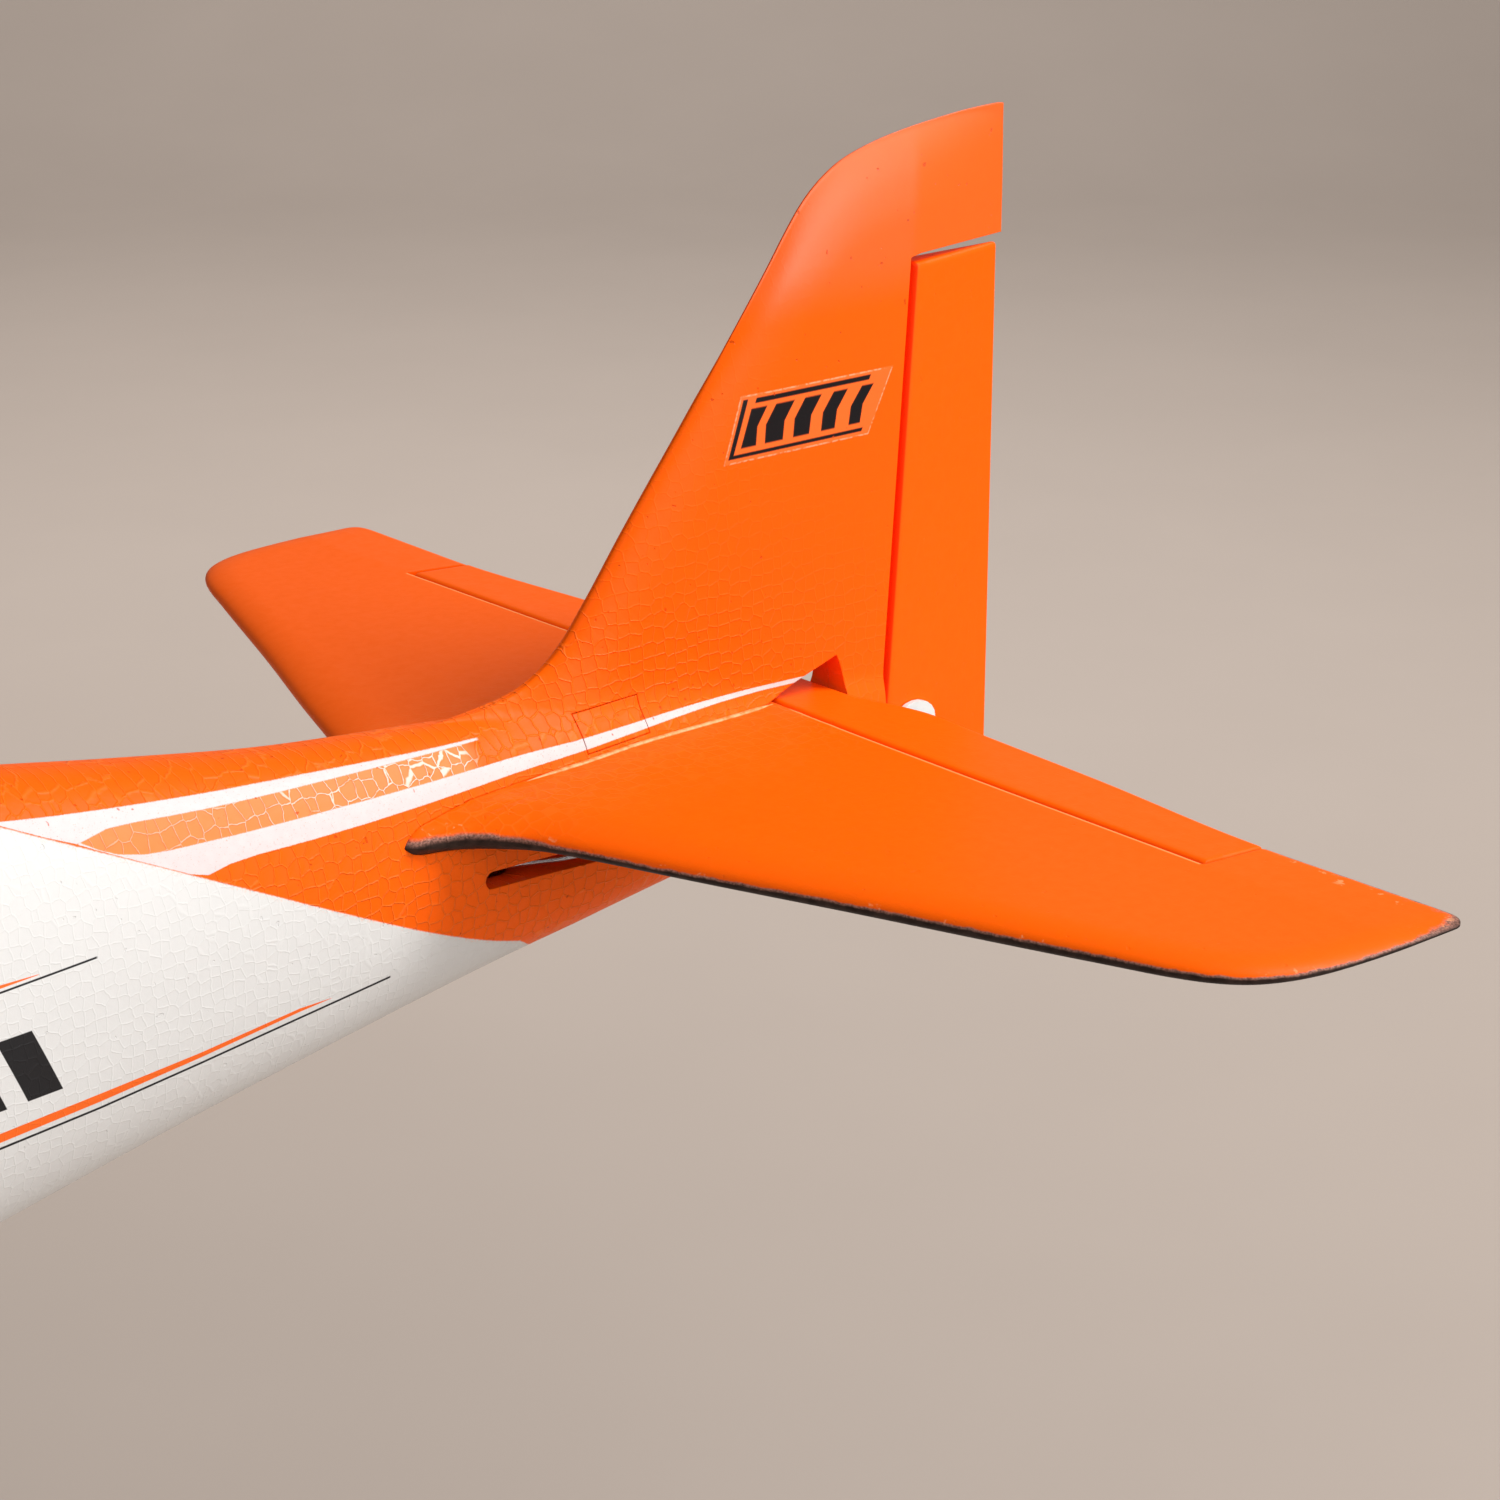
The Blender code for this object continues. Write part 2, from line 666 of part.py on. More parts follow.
def bay_section(x, z0, z1, g=1.6, n=7):
    """(y, z) outline that fills the bay at station x between two heights."""
    zs = np.linspace(z0, z1, n)
    half = bay(x, zs) - g
    return [(h, z) for h, z in zip(half, zs)] + [(-h, z) for h, z in zip(half[::-1], zs[::-1])]


def bay_shelf(xs, z, g=1.6):
    """(x, y) outline of a level plate glued between the shells."""
    half = [float(min(bay(x, z - 1.5), bay(x, z + 1.5))) - g for x in xs]
    return [(x, h) for x, h in zip(xs, half)] + [(x, -h) for x, h in zip(xs[::-1], half[::-1])]


# ---------------------------------------------------------------- canopy
ring_x = [446, 470, 500, 535, 570, 605, 640, 670, 695, 712, 728]


def canopy_ring(x, inset, low):
    zt = float(body_top(x)) - inset
    zs = low + (zt - low) * np.sin(np.linspace(0, 1, 8) * math.pi / 2)
    w = np.maximum(skin(x, np.minimum(zs + inset * (zs - low) / (zt - low), float(body_top(x)))) - inset, 0.0)
    w[-1] = 0
    left = [(x, wi, zi) for wi, zi in zip(w, zs)]
    right = [(x, -wi, zi) for wi, zi in zip(w[:-1], zs[:-1])][::-1]
    return left + right


canopy = make("canopy", *loft([canopy_ring(x, 0.0, -12.0) for x in ring_x]), BLACKP, origin=(590, 0, 30), smooth=50)
boolean(canopy, make("cut_canopy_inset", *prism(grow(canopy_zone, -0.3), "xz", -80, 80), None, cutter=True), "INTERSECT")
inner_x = [481, 500, 535, 570, 605, 640, 670, 690]
cut(canopy, "cut_canopy_hollow", loft([canopy_ring(x, 4.5, -20.0) for x in inner_x]))

# lug inside the canopy's rear end that carries its magnet
fuse(canopy, "join_canopy_magnet_lug", box((473.5, -6.5, 29.5), (486.0, 6.5, 52.0)))
cut(canopy, "cut_canopy_magnet", rod((460.0, 0, 36), (476.2, 0, 36), 4.4, 12))
make("canopy_magnet", *rod((471.4, 0, 36), (475.8, 0, 36), 4.0, 12), ALU, origin=(590, 0, 30))

# ---------------------------------------------------------------- tailplane and elevator
n_half = [229.0, 228.0, 225.5, 221.0, 213.0, 202.0, 185.0, 166.8, 140.0, 110.0, 80.0, 57.0, 45.0, 36.0, 29.5, 25.5, 23.0, 10.0]
ys = np.array([-v for v in n_half] + [0.0] + n_half[::-1])
P, Q = stab_solid(ys)
P[0, :, 2] = Q[0, :, 2] = P[-1, :, 2] = Q[-1, :, 2] = 0
stab = make("stabilizer", *pillow(P, Q), ORANGE, smooth=50)
cut(stab, "cut_elevator", prism([(0.0, -166.6), (0.0, 166.6), (-60, 166.6), (-60, -166.6)], "xy", -20, 20))

E_SHARE = [0.0, 0.02, 0.075, 0.4, 0.7, 1.0]
e_half = [165.4, 150.0, 125.0, 105.0, 80.0, 59.0, 46.0, 38.0, 31.0, 26.0, 20.0, 12.0]
ey = np.array([-v for v in e_half] + [0.0] + e_half[::-1])
P, Q = [], []
for y in ey:
    te = float(stab_te(abs(y)))
    if abs(y) < 16:
        te = max(te, ELEV_AXIS_X - ARCH_R + 2.4)
    x0 = ELEV_AXIS_X - 0.1
    x = np.array([x0, x0 - 0.5, x0 - 2.1, x0 - 2.1 + (te - x0 + 2.1) * 0.4, x0 - 2.1 + (te - x0 + 2.1) * 0.7, te])
    h = stab_half(x, y)
    h[0], h[1] = 0.0, h[2] * 0.5
    P.append(np.stack([x, np.full_like(x, y), h], 1))
    Q.append(np.stack([x, np.full_like(x, y), -h], 1))
elevator = make("elevator", *pillow(P, Q), ORANGE, origin=(ELEV_AXIS_X, 0, 0), smooth=50)

# carbon stiffener glued into the tailplane
BORE_STAB = 2.3
stab_spar = make("stab_spar", *rod((40, -150, 0), (40, 150, 0), 2.0, 10), CARBON)
cut(stab, "cut_stab_spar", rod((40, -150.5, 0), (40, 150.5, 0), BORE_STAB, 10))
cut(stab, "cut_stab_spar_vent", rod((40, 0.0, 0), (40, 0.0, 30), 1.2, 8))

# ---------------------------------------------------------------- rudder
rz = np.array([-36.5, -35.0, -28, -14, 4, 24, 50, 78, 104, 116, RUDDER_TOP])
P, Q = [], []
for z in rz:
    xh = float(hinge_x(z))
    te = -91.6
    zz = z
    x = np.array([xh - 0.2, xh - 0.9, xh - 2.0, xh - 2.0 + (te - xh + 2.0) * 0.35, xh - 2.0 + (te - xh + 2.0) * 0.7, te])
    aft = np.clip((xh - x) / (xh - FIN_TE), 0, 1)
    h = float(fin_half(z)) * (1 - 0.84 * aft)
    b = float(body_w(-50)) if z < 0 else 0
    h[0], h[1] = 0.0, h[2] * 0.55
    if z < -30:
        h = h * (0.8 if z > -36 else 0.55)
    P.append(np.stack([x, h, np.full_like(x, zz)], 1))
    Q.append(np.stack([x, -h, np.full_like(x, zz)], 1))
rudder = make("rudder", *pillow(P, Q), ORANGE, origin=(float(hinge_x(0)), 0, 0), smooth=50)

# ---------------------------------------------------------------- tail horns and pushrods
ROD_R = 0.75
RX = float(hinge_x(-16))


def rudder_side(x, z=-16.0):
    xh = float(hinge_x(z))
    return float(fin_half(z)) * (1 - 0.84 * (xh - x) / (xh - FIN_TE))


base = [(-56.4 + 9.6 * a, -15.8 + 7.0 * b) for a, b in disc(0, 0, 1, 20)]
horn = make(
    "rudder_horn",
    *loft([[(x, rudder_side(x, z) + 0.35, z) for x, z in base], [(x, rudder_side(x, z) + 1.9, z) for x, z in base]]),
    WHITEP,
    origin=(float(hinge_x(0)), 0, 0),
    smooth=35,
)
RH_Y = 19.0
RA_Y = rudder_side(-52) + 1.0
fuse(
    horn,
    "join_rudder_horn_arm",
    prism(
        [(-58.6, RA_Y), (RX - 5.4, RA_Y), (RX - 4.6, 10.5), (RX - 1.2, RH_Y - 5), (RX + 2.4, RH_Y - 1.6)]
        + disc(RX, RH_Y, 2.9, 8, -20, 200)
        + [(RX - 4.2, RH_Y - 4)],
        "xy",
        -17.2,
        -15.4,
    ),
)
cut(horn, "cut_rudder_horn_hole", rod((RX, RH_Y, -21), (RX, RH_Y, -12), 0.9, 8))

EH_Y, EH_Z = -22.6, -13.0
ex = ELEV_AXIS_X
horn_e = make(
    "elevator_horn",
    *prism(
        [(ex - 17.0, -2.4), (ex - 17.0, -4.6), (ex - 3.6, EH_Z - 1.6)]
        + disc(ex, EH_Z, 2.7, 8, 215, 380)
        + [(ex + 0.2, -8.0), (ex - 3.0, -5.4), (ex - 4.4, -3.0)],
        "xz",
        EH_Y - 1.0,
        EH_Y + 1.0,
    ),
    WHITEP,
    origin=(ELEV_AXIS_X, 0, 0),
    smooth=35,
)
# flange that the horn is glued to the underside by
P, Q = [], []
for x in np.linspace(ex - 19, ex - 3.4, 5):
    h = [float(stab_half(x, y)) + 0.25 for y in (EH_Y - 6, EH_Y, EH_Y + 6)]
    P.append([(x, y, -hh) for y, hh in zip((EH_Y - 6, EH_Y, EH_Y + 6), h)])
    Q.append([(x, y, -hh - 1.3) for y, hh in zip((EH_Y - 6, EH_Y, EH_Y + 6), h)])
flange = make("join_elevator_horn_flange", *pillow(P, Q), None, cutter=True)
horn_e2 = make("cut_elevator_horn_top", *pillow(
    np.array([[(x, y, 8.0) for y in (EH_Y - 8, EH_Y + 8)] for x in (ex - 24, ex - 19, ex - 11, ex - 3.4, ex + 6)]),
    np.array([[(x, y, -float(stab_half(x, y)) - 0.25) for y in (EH_Y - 8, EH_Y + 8)] for x in (ex - 24, ex - 19, ex - 11, ex - 3.4, ex + 6)]),
), None, cutter=True)
boolean(horn_e, flange, "UNION")
boolean(horn_e, horn_e2)
cut(horn_e, "cut_elevator_horn_hole", rod((ex, EH_Y - 3, EH_Z), (ex, EH_Y + 3, EH_Z), 0.9, 8))

SERVO_X, SERVO_Y, ARM_Z = 412.0, 22.5, -27.6
ARM_R = 14.0
ROD_Y0 = SERVO_Y - ARM_R
ROD_Z0 = ARM_Z + 2.3
R_END_Z, E_END_Z = -19.0, EH_Z
rudder_rod = wire(
    "rudder_pushrod",
    [(SERVO_X + 1, ROD_Y0, ROD_Z0), (260, ROD_Y0 + 1.6, -22.0), (125, 11.6, -16.6), (108, 13.6, -16.2), (84, 17.8, -18.0), (62, 19.2, -18.9), (RX - 1.2, RH_Y, R_END_Z)],
    ROD_R,
    STEEL,
)
E_ROD_Y = EH_Y + 1.0 + ROD_R + 0.5
elevator_rod = wire(
    "elevator_pushrod",
    [(SERVO_X + 1, -ROD_Y0, ROD_Z0), (260, -ROD_Y0 - 1.6, -22.0), (125, -11.6, -16.6), (108, -13.6, -16.2), (84, -17.8, -18.0), (62, -19.4, -18.6), (40, -20.8, -16.8), (ex - 1.2, E_ROD_Y, E_END_Z)],
    ROD_R,
    STEEL,
)
# guide tubes glued along the inside of the shells
for s, name in ((1, "rudder_guide_tube"), (-1, "elevator_guide_tube")):
    a = np.array([256.0, s * (ROD_Y0 + 1.6 + 0.044), -21.84])
    b = np.array([160.0, s * (ROD_Y0 + 1.6 + 1.11), -18.0])
    d = b - a
    L = np.linalg.norm(d)
    make(name, *turned([(0, 1.35), (0, 2.1), (L, 2.1), (L, 1.35)], a, d, 10), WHITEP)

# ---------------------------------------------------------------- servos
def servo(name, shaft, up, along, arm_len=ARM_R):
    """Micro servo: shaft is the output axis at the top of the spline, up points along it, along runs to the far end of the case."""
    shaft, up, along = (np.array(v, float) for v in (shaft, up, along))
    side = np.cross(up, along)

    def place(shape):
        v, f = shape
        return [shaft + along * p[0] + side * p[1] + up * p[2] for p in v], f

    obj = make(name, *place(box((-6.0, -6.0, -29.0), (16.8, 6.0, -6.6))), SERVO, smooth=0)
    for k, shape in enumerate(
        (
            box((-10.6, -5.9, -13.4), (21.4, 5.9, -11.2)),
            turned([(-7.5, 0), (-7.5, 5.6), (-3.4, 5.6), (-3.0, 5.2), (-3.0, 0)], (0, 0, 0), (0, 0, 1), 14),
            turned([(-3.6, 0), (-3.6, 2.3), (-0.6, 2.3), (-0.6, 0)], (0, 0, 0), (0, 0, 1), 10),
        )
    ):
        fuse(obj, f"join_{name}_{k}", place(shape))
    return obj


def servo_arm(name, shaft, up, arm, length=ARM_R, origin=None):
    """Arm on the spline: hub and a tapering plate."""
    shaft, up, arm = (np.array(v, float) for v in (shaft, up, arm))
    side = np.cross(up, arm)
    n = 6
    pts = [(3.4 * math.cos(a), 3.4 * math.sin(a)) for a in np.linspace(math.radians(60), math.radians(300), n + 3)]
    pts += [(length + 2.0 * math.cos(a), 2.0 * math.sin(a)) for a in np.linspace(math.radians(-80), math.radians(80), n)]
    v, f = prism(pts, "xy", -0.3, 1.3)
    v = [shaft + arm * p[0] + side * p[1] + up * p[2] for p in v]
    obj = make(name, v, f, WHITEP, origin=tuple(shaft), smooth=35)
    tip = shaft + arm * length
    cut(obj, f"cut_{name}_hole", rod(tip - up * 3, tip + up * 4, 0.8, 8))
    return obj


for s, tail in ((1, "rudder"), (-1, "elevator")):
    servo(f"{tail}_servo", (SERVO_X, s * SERVO_Y, ARM_Z), (0, 0, 1), (-1, 0, 0))
    servo_arm(f"{tail}_servo_arm", (SERVO_X, s * SERVO_Y, ARM_Z), (0, 0, 1), (0, -s, 0))

# ply tray that carries the two tail servos by their ears
tray = make("servo_tray", *prism(bay_shelf([384, 395, 406, 417, 428], ARM_Z - 15), "xy", ARM_Z - 16.0, ARM_Z - 13.7), BLACKP, smooth=35)
for s in (1, -1):
    cut(tray, f"cut_servo_tray_{'left' if s > 0 else 'right'}", box((SERVO_X - 17.4, s * SERVO_Y - 6.5, -60), (SERVO_X + 6.6, s * SERVO_Y + 6.5, -20)))

# ---------------------------------------------------------------- wing
WY = [0, 46, 78, 110, 200, 300, 420, 540, 575, 620, 660, 690, 715, 730, 740, 747, 750]
SPAR_X, SPAR_Z = 455.0, -75.0
for side, tag in ((1, "left"), (-1, "right")):
    P, Q = wing_grid(side, WY, CHORD)
    P[-1, :, 2] = Q[-1, :, 2] = (P[-1, :, 2] + Q[-1, :, 2]) / 2
    wing = make(f"wing_{tag}", *pillow(P, Q), WHITE, smooth=50)
    h0, h1 = hinge_ail(AIL_Y0), hinge_ail(AIL_Y1)
    zone = [(h0 + 1.3, side * (AIL_Y0 - 0.8)), (h1 + 1.3, side * (AIL_Y1 + 0.8)), (300, side * (AIL_Y1 + 0.8)), (300, side * (AIL_Y0 - 0.8))]
    cut(wing, f"cut_aileron_{tag}", prism(zone, "xy", -140, 40))
    cut(wing, f"cut_spar_{tag}", rod((SPAR_X, side * -5, SPAR_Z), (SPAR_X, side * 240, SPAR_Z + 240 * 0.0), 3.4, 12))
    # aileron servo pocket in the underside
    sy = side * 345.0
    zb = float(wing_z(345))
    cut(wing, f"cut_servo_pocket_{tag}", box((424.4 - 12, min(sy - side * 8.0, sy + side * 16.5), zb - 6), (424.4 + 22, max(sy - side * 8.0, sy + side * 16.5), zb + 12.2)))

    ail_y = np.linspace(AIL_Y0, AIL_Y1, 6)
    P, Q = [], []
    for y in ail_y:
        le, te = float(wing_le(y)), float(wing_te(y))
        xh = hinge_ail(y)
        x = np.array([xh - 0.2, xh - 0.8, xh - 2.4, xh - 14, xh - 26, te])
        s = (le - x) / (le - te)
        _, lo, up = wing_surfaces(y, s)
        mid = (lo[0] + up[0]) / 2
        half = (up - lo) / 2
        lo[0] = up[0] = mid
        c1 = (lo[1] + up[1]) / 2
        lo[1], up[1] = c1 - half[2] * 0.5, c1 + half[2] * 0.5
        P.append(np.stack([x, np.full_like(x, side * y), up], 1))
        Q.append(np.stack([x, np.full_like(x, side * y), lo], 1))
    x0, x1 = hinge_ail(AIL_Y0), hinge_ail(AIL_Y1)

    def ail_mid(y):
        le, te = float(wing_le(y)), float(wing_te(y))
        _, lo, up = wing_surfaces(y, np.array([(le - hinge_ail(y)) / (le - te)]))
        return float((lo + up)[0] / 2), float(lo[0])

    make(f"aileron_{tag}", *pillow(P, Q), ORANGE, origin=(x0, side * AIL_Y0, ail_mid(AIL_Y0)[0]), smooth=50)

    # horn under the aileron and its pushrod to the servo arm
    hy = 345.0
    xh = hinge_ail(hy)
    zm, zl = ail_mid(hy)
    hz = zm - 14.0
    y_in = side * hy
    horn_a = make(
        f"aileron_horn_{tag}",
        *prism(
            [(xh - 16, zl - 0.4), (xh - 16, zl - 1.9), (xh - 4.0, hz - 0.6)] + disc(xh, hz, 2.6, 6, 215, 380) + [(xh + 0.2, zl - 3.4), (xh - 2.6, zl - 0.4)],
            "xz",
            y_in - 1.0,
            y_in + 1.0,
        ),
        WHITEP,
        origin=(x0, side * AIL_Y0, ail_mid(AIL_Y0)[0]),
        smooth=35,
    )
    fuse(horn_a, f"join_aileron_flange_{tag}", prism(rounded(xh - 18, y_in - 5, xh - 3.0, y_in + 5, 2, 2), "xy", zl - 1.7, zl - 0.4))
    cut(horn_a, f"cut_aileron_horn_hole_{tag}", rod((xh, y_in - 3, hz), (xh, y_in + 3, hz), 0.8, 8))

    # servo lies on its side in the pocket, its arm under the wing
    sx, sz = 424.4, zb + 6.2
    # case built about the output shaft, opening towards the root
    obj = make(f"aileron_servo_{tag}", *box((sx - 6.0, min(y_in + side * 3.4, y_in + side * 15.0), sz - 5.8), (sx + 16.8, max(y_in + side * 3.4, y_in + side * 15.0), sz + 5.6)), SERVO, smooth=0)
    fuse(obj, f"join_aileron_servo_ears_{tag}", box((sx - 9.6, min(y_in + side * 7.0, y_in + side * 9.0), sz - 5.7), (sx + 20.4, max(y_in + side * 7.0, y_in + side * 9.0), sz + 5.5)))
    fuse(obj, f"join_aileron_servo_boss_{tag}", rod((sx, y_in + side * 4.4, sz), (sx, y_in + side * 0.6, sz), 4.6, 12))
    fuse(obj, f"join_aileron_servo_spline_{tag}", rod((sx, y_in + side * 1.4, sz), (sx, y_in - side * 0.9, sz), 2.2, 10))
    arm_shaft = (sx, y_in - side * 1.5, sz)
    servo_arm(f"aileron_servo_arm_{tag}", arm_shaft, (0, -side, 0), (0, 0, -1), 14.0)
    ry = y_in - side * (1.5 + 1.3 + 0.5 + ROD_R)
    wire(f"aileron_pushrod_{tag}", [(sx + 1.0, ry, sz - 14.0), (sx - 14, ry, sz - 14.0), (xh + 12, ry, hz), (xh - 1.0, ry, hz)], ROD_R, STEEL)

make("wing_spar_tube", *turned([(0, 2.0), (0, 3.0), (430, 3.0), (430, 2.0)], (SPAR_X, -215, SPAR_Z), (0, 1, 0), 12), CARBON)

# belly skid that also clamps the two panels, with its screws
skid = make("belly_skid", *prism(rounded(346, -21, 506, 21, 12, 4), "xy", -91.0, -88.3), BLACKP, smooth=35)
for k, x in enumerate((362.0, 490.0)):
    cut(skid, f"cut_skid_hole_{k}", rod((x, 0, -95), (x, 0, -85), 2.3, 10))
    cut(skid, f"cut_skid_sink_{k}", rod((x, 0, -92), (x, 0, -89.3), 4.2, 12))
for k, x in ((0, 362.0), (1, 490.0)):
    top = -60.4 if k == 0 else -66.0
    make(("wing_screw_rear", "wing_screw_front")[k], *turned([(0, 0), (0, 3.6), (1.1, 3.6), (1.1, 1.8), (top + 90.7, 1.8), (top + 90.7, 0)], (x, 0, -90.7), (0, 0, 1), 12), WHITEP)
    for tag in ("left", "right"):
        cut(bpy.data.objects[f"wing_{tag}"], f"cut_wing_screw_{tag}_{k}", rod((x, 0, -95), (x, 0, -40), 2.2, 10))
        cut(bpy.data.objects[f"fuselage_{tag}"], f"cut_fuselage_screw_{tag}_{k}", rod((x, 0, -95), (x, 0, top + 1.0), 2.2, 10))

# ---------------------------------------------------------------- power unit
fw = make("firewall", *prism(bay_section(730.0, -41.5, -4.0, 1.4, 9), "yz", 727.0, 730.0), BLACKP, smooth=35)
make(
    "motor_stator",
    *turned(
        [(0.4, 0), (0.4, 13.2), (3.4, 13.2), (5.0, 7.0), (7.0, 6.0), (7.0, 11.2), (23.0, 11.2), (23.0, 2.4), (1.6, 2.4), (1.6, 0)],
        (730, 0, SHAFT_Z), (1, 0, 0), 24,
    ),
    ALU,
)
make(
    "motor_bell",
    *turned(
        [(4.0, 0), (4.0, 1.9), (24.0, 1.9), (24.0, 11.6), (6.4, 11.6), (6.4, MOTOR_R), (26.0, MOTOR_R), (29.0, 9.0), (29.0, 4.0), (31.5, 4.0), (31.5, 1.9), (66.0, 1.9), (66.0, 0)],
        (730, 0, SHAFT_Z), (1, 0, 0), 24,
    ),
    ALU,
    origin=(780, 0, SHAFT_Z),
)
# yoke on the shaft with two lugs either side for the blade roots
yoke = make("prop_yoke", *turned([(-21, 0), (-21, 8.5), (9, 8.5), (9, 0)], (BLADE_PIN_X, 0, SHAFT_Z), (1, 0, 0), 16), ALU, origin=(780, 0, SHAFT_Z), smooth=35)
for k, z in enumerate((3.7, -3.7)):
    fuse(yoke, f"join_yoke_plate_{k}", prism([(BLADE_PIN_X - 4.5, -18.6), (BLADE_PIN_X + 4.5, -18.6), (BLADE_PIN_X + 4.5, 18.6), (BLADE_PIN_X - 4.5, 18.6)], "xy", SHAFT_Z + z - 1.0, SHAFT_Z + z + 1.0))
cut(yoke, "cut_yoke_bore", rod((BLADE_PIN_X - 30, 0, SHAFT_Z), (BLADE_PIN_X + 20, 0, SHAFT_Z), 2.15, 12))
for s, t in ((1, "a"), (-1, "b")):
    cut(yoke, f"cut_yoke_pin_{t}", rod((BLADE_PIN_X, s * BLADE_PIN_Y, SHAFT_Z - 9), (BLADE_PIN_X, s * BLADE_PIN_Y, SHAFT_Z + 9), 1.15, 8))
    make(f"blade_pin_{t}", *rod((BLADE_PIN_X, s * BLADE_PIN_Y, SHAFT_Z - 5.6), (BLADE_PIN_X, s * BLADE_PIN_Y, SHAFT_Z + 5.6), 0.85, 8), STEEL, origin=(780, 0, SHAFT_Z))

# spinner: hollow cone with slots for the blade roots
prof = []
for k in range(9):
    u = k / 8
    prof.append((777.0 + 45.0 * u, SPINNER_R * math.sqrt(max(0, 1 - u**1.9)) ** 1.05 if k < 8 else 0))
inner_prof = [(a - (1.4 if k else 0) - (0.8 if k > 5 else 0), max(0, r - 1.3)) for k, (a, r) in enumerate(prof[:-1])]
profile = [(a, r) for a, r in prof]
back = [(prof[-1][0] - 3.0, 0.0)] + [(a, r) for a, r in inner_prof[::-1] if a < prof[-1][0] - 5.5]
spinner = make("spinner", *turned([(a - 777.0, r) for a, r in (back[::1] + profile[:-1] + [profile[-1]])], (777, 0, SHAFT_Z), (1, 0, 0), 28), BLACKP, origin=(780, 0, SHAFT_Z), smooth=45)
for s, t in ((1, "a"), (-1, "b")):
    lo, hi = (11.5, 30.0) if s > 0 else (-30.0, -11.5)
    cut(spinner, f"cut_spinner_slot_{t}", prism(rounded(770, SHAFT_Z - 7.2, 806.6, SHAFT_Z + 7.2, 2.5, 2), "xz", lo, hi))


def blade(name, s):
    rings = []
    table_b = [(-3.2, 4.4, 5.2, 0), (0.0, 4.8, 5.2, 0), (4.6, 4.4, 5.2, 0), (10, 6.5, 4.2, 22), (20, 13, 3.4, 30), (34, 19.5, 2.9, 26), (52, 20.5, 2.5, 21), (70, 17.5, 2.1, 17), (84, 12.5, 1.7, 15), (92, 7.5, 1.4, 14), (BLADE_LEN, 3.4, 1.2, 13)]
    for r, chord, thick, pitch in table_b:
        ring = []
        a = math.radians(pitch) * s
        for k in range(12):
            t = 2 * math.pi * k / 12
            u, v = chord / 2 * math.cos(t), thick / 2 * math.sin(t)
            if r > 8:
                v *= 1 - 0.35 * math.cos(t)
            # chord runs along z, turned by the pitch towards the flight direction
            z, x = u * math.cos(a) - v * math.sin(a), u * math.sin(a) + v * math.cos(a)
            ring.append((BLADE_PIN_X + x, s * (BLADE_PIN_Y + r), SHAFT_Z + z))
        rings.append(ring)
    obj = make(name, *loft(rings), BLACKP, origin=(BLADE_PIN_X, s * BLADE_PIN_Y, SHAFT_Z), smooth=50)
    cut(obj, f"cut_{name}_pin", rod((BLADE_PIN_X, s * BLADE_PIN_Y, SHAFT_Z - 8), (BLADE_PIN_X, s * BLADE_PIN_Y, SHAFT_Z + 8), 1.1, 8))


blade("blade_a", 1)
blade("blade_b", -1)

# ---------------------------------------------------------------- equipment in the bay
BAT_Z = -52.0
make("battery_tray", *prism(bay_shelf([558, 575, 590, 605, 625, 640, 660, 675, 688, 698], BAT_Z - 1.6, 3.4), "xy", BAT_Z - 2.6, BAT_Z - 0.6), BLACKP, smooth=35)
make("battery", *prism(rounded(-17.0, BAT_Z - 0.2, 17.0, BAT_Z + 23.0, 2.5, 2), "yz", 564, 648), BLUE, smooth=35)
strap_out, strap_in = rounded(-20.2, BAT_Z - 5.4, 20.2, BAT_Z + 25.2, 3.0, 3), rounded(-17.6, BAT_Z - 3.2, 17.6, BAT_Z + 23.7, 0.8, 3)
strap = make("battery_strap", *prism(strap_out, "yz", 596, 614), GREEN, smooth=35)
cut(strap, "cut_battery_strap", prism(strap_in, "yz", 590, 620))
tray_o = bpy.data.objects["battery_tray"]
for s in (1, -1):
    lo, hi = (17.2, 20.8) if s > 0 else (-20.8, -17.2)
    cut(tray_o, f"cut_tray_strap_{'left' if s > 0 else 'right'}", box((595, lo, -70), (615, hi, -40)))
make("esc", *prism(rounded(656, -11.0, 696, 11.0, 3, 2), "xy", BAT_Z - 0.2, BAT_Z + 9.6), GREEN, smooth=35)
make("receiver", *prism(rounded(470, -12.5, 512, 12.5, 2, 2), "xy", -56.6, -43.0), GREEN, smooth=35)
# former behind the canopy with the magnet that holds the canopy's rear end
former = make("canopy_former", *prism(bay_section(458.0, 8.0, 45.5), "yz", 455.0, 458.0), BLACKP, smooth=35)
fuse(former, "join_former_boss", rod((456.5, 0, 36), (466.4, 0, 36), 6.4, 16))
cut(former, "cut_former_magnet", rod((461.4, 0, 36), (480, 0, 36), 4.35, 12))
make("former_magnet", *rod((461.8, 0, 36), (466.4, 0, 36), 4.0, 12), ALU)
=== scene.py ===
# Looks of the foam motor glider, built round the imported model.
# Design functions work in station millimetres: x forward from the elevator hinge, y to port, z up.
import math

import bmesh
import bpy
import numpy as np
from mathutils import Matrix, Vector


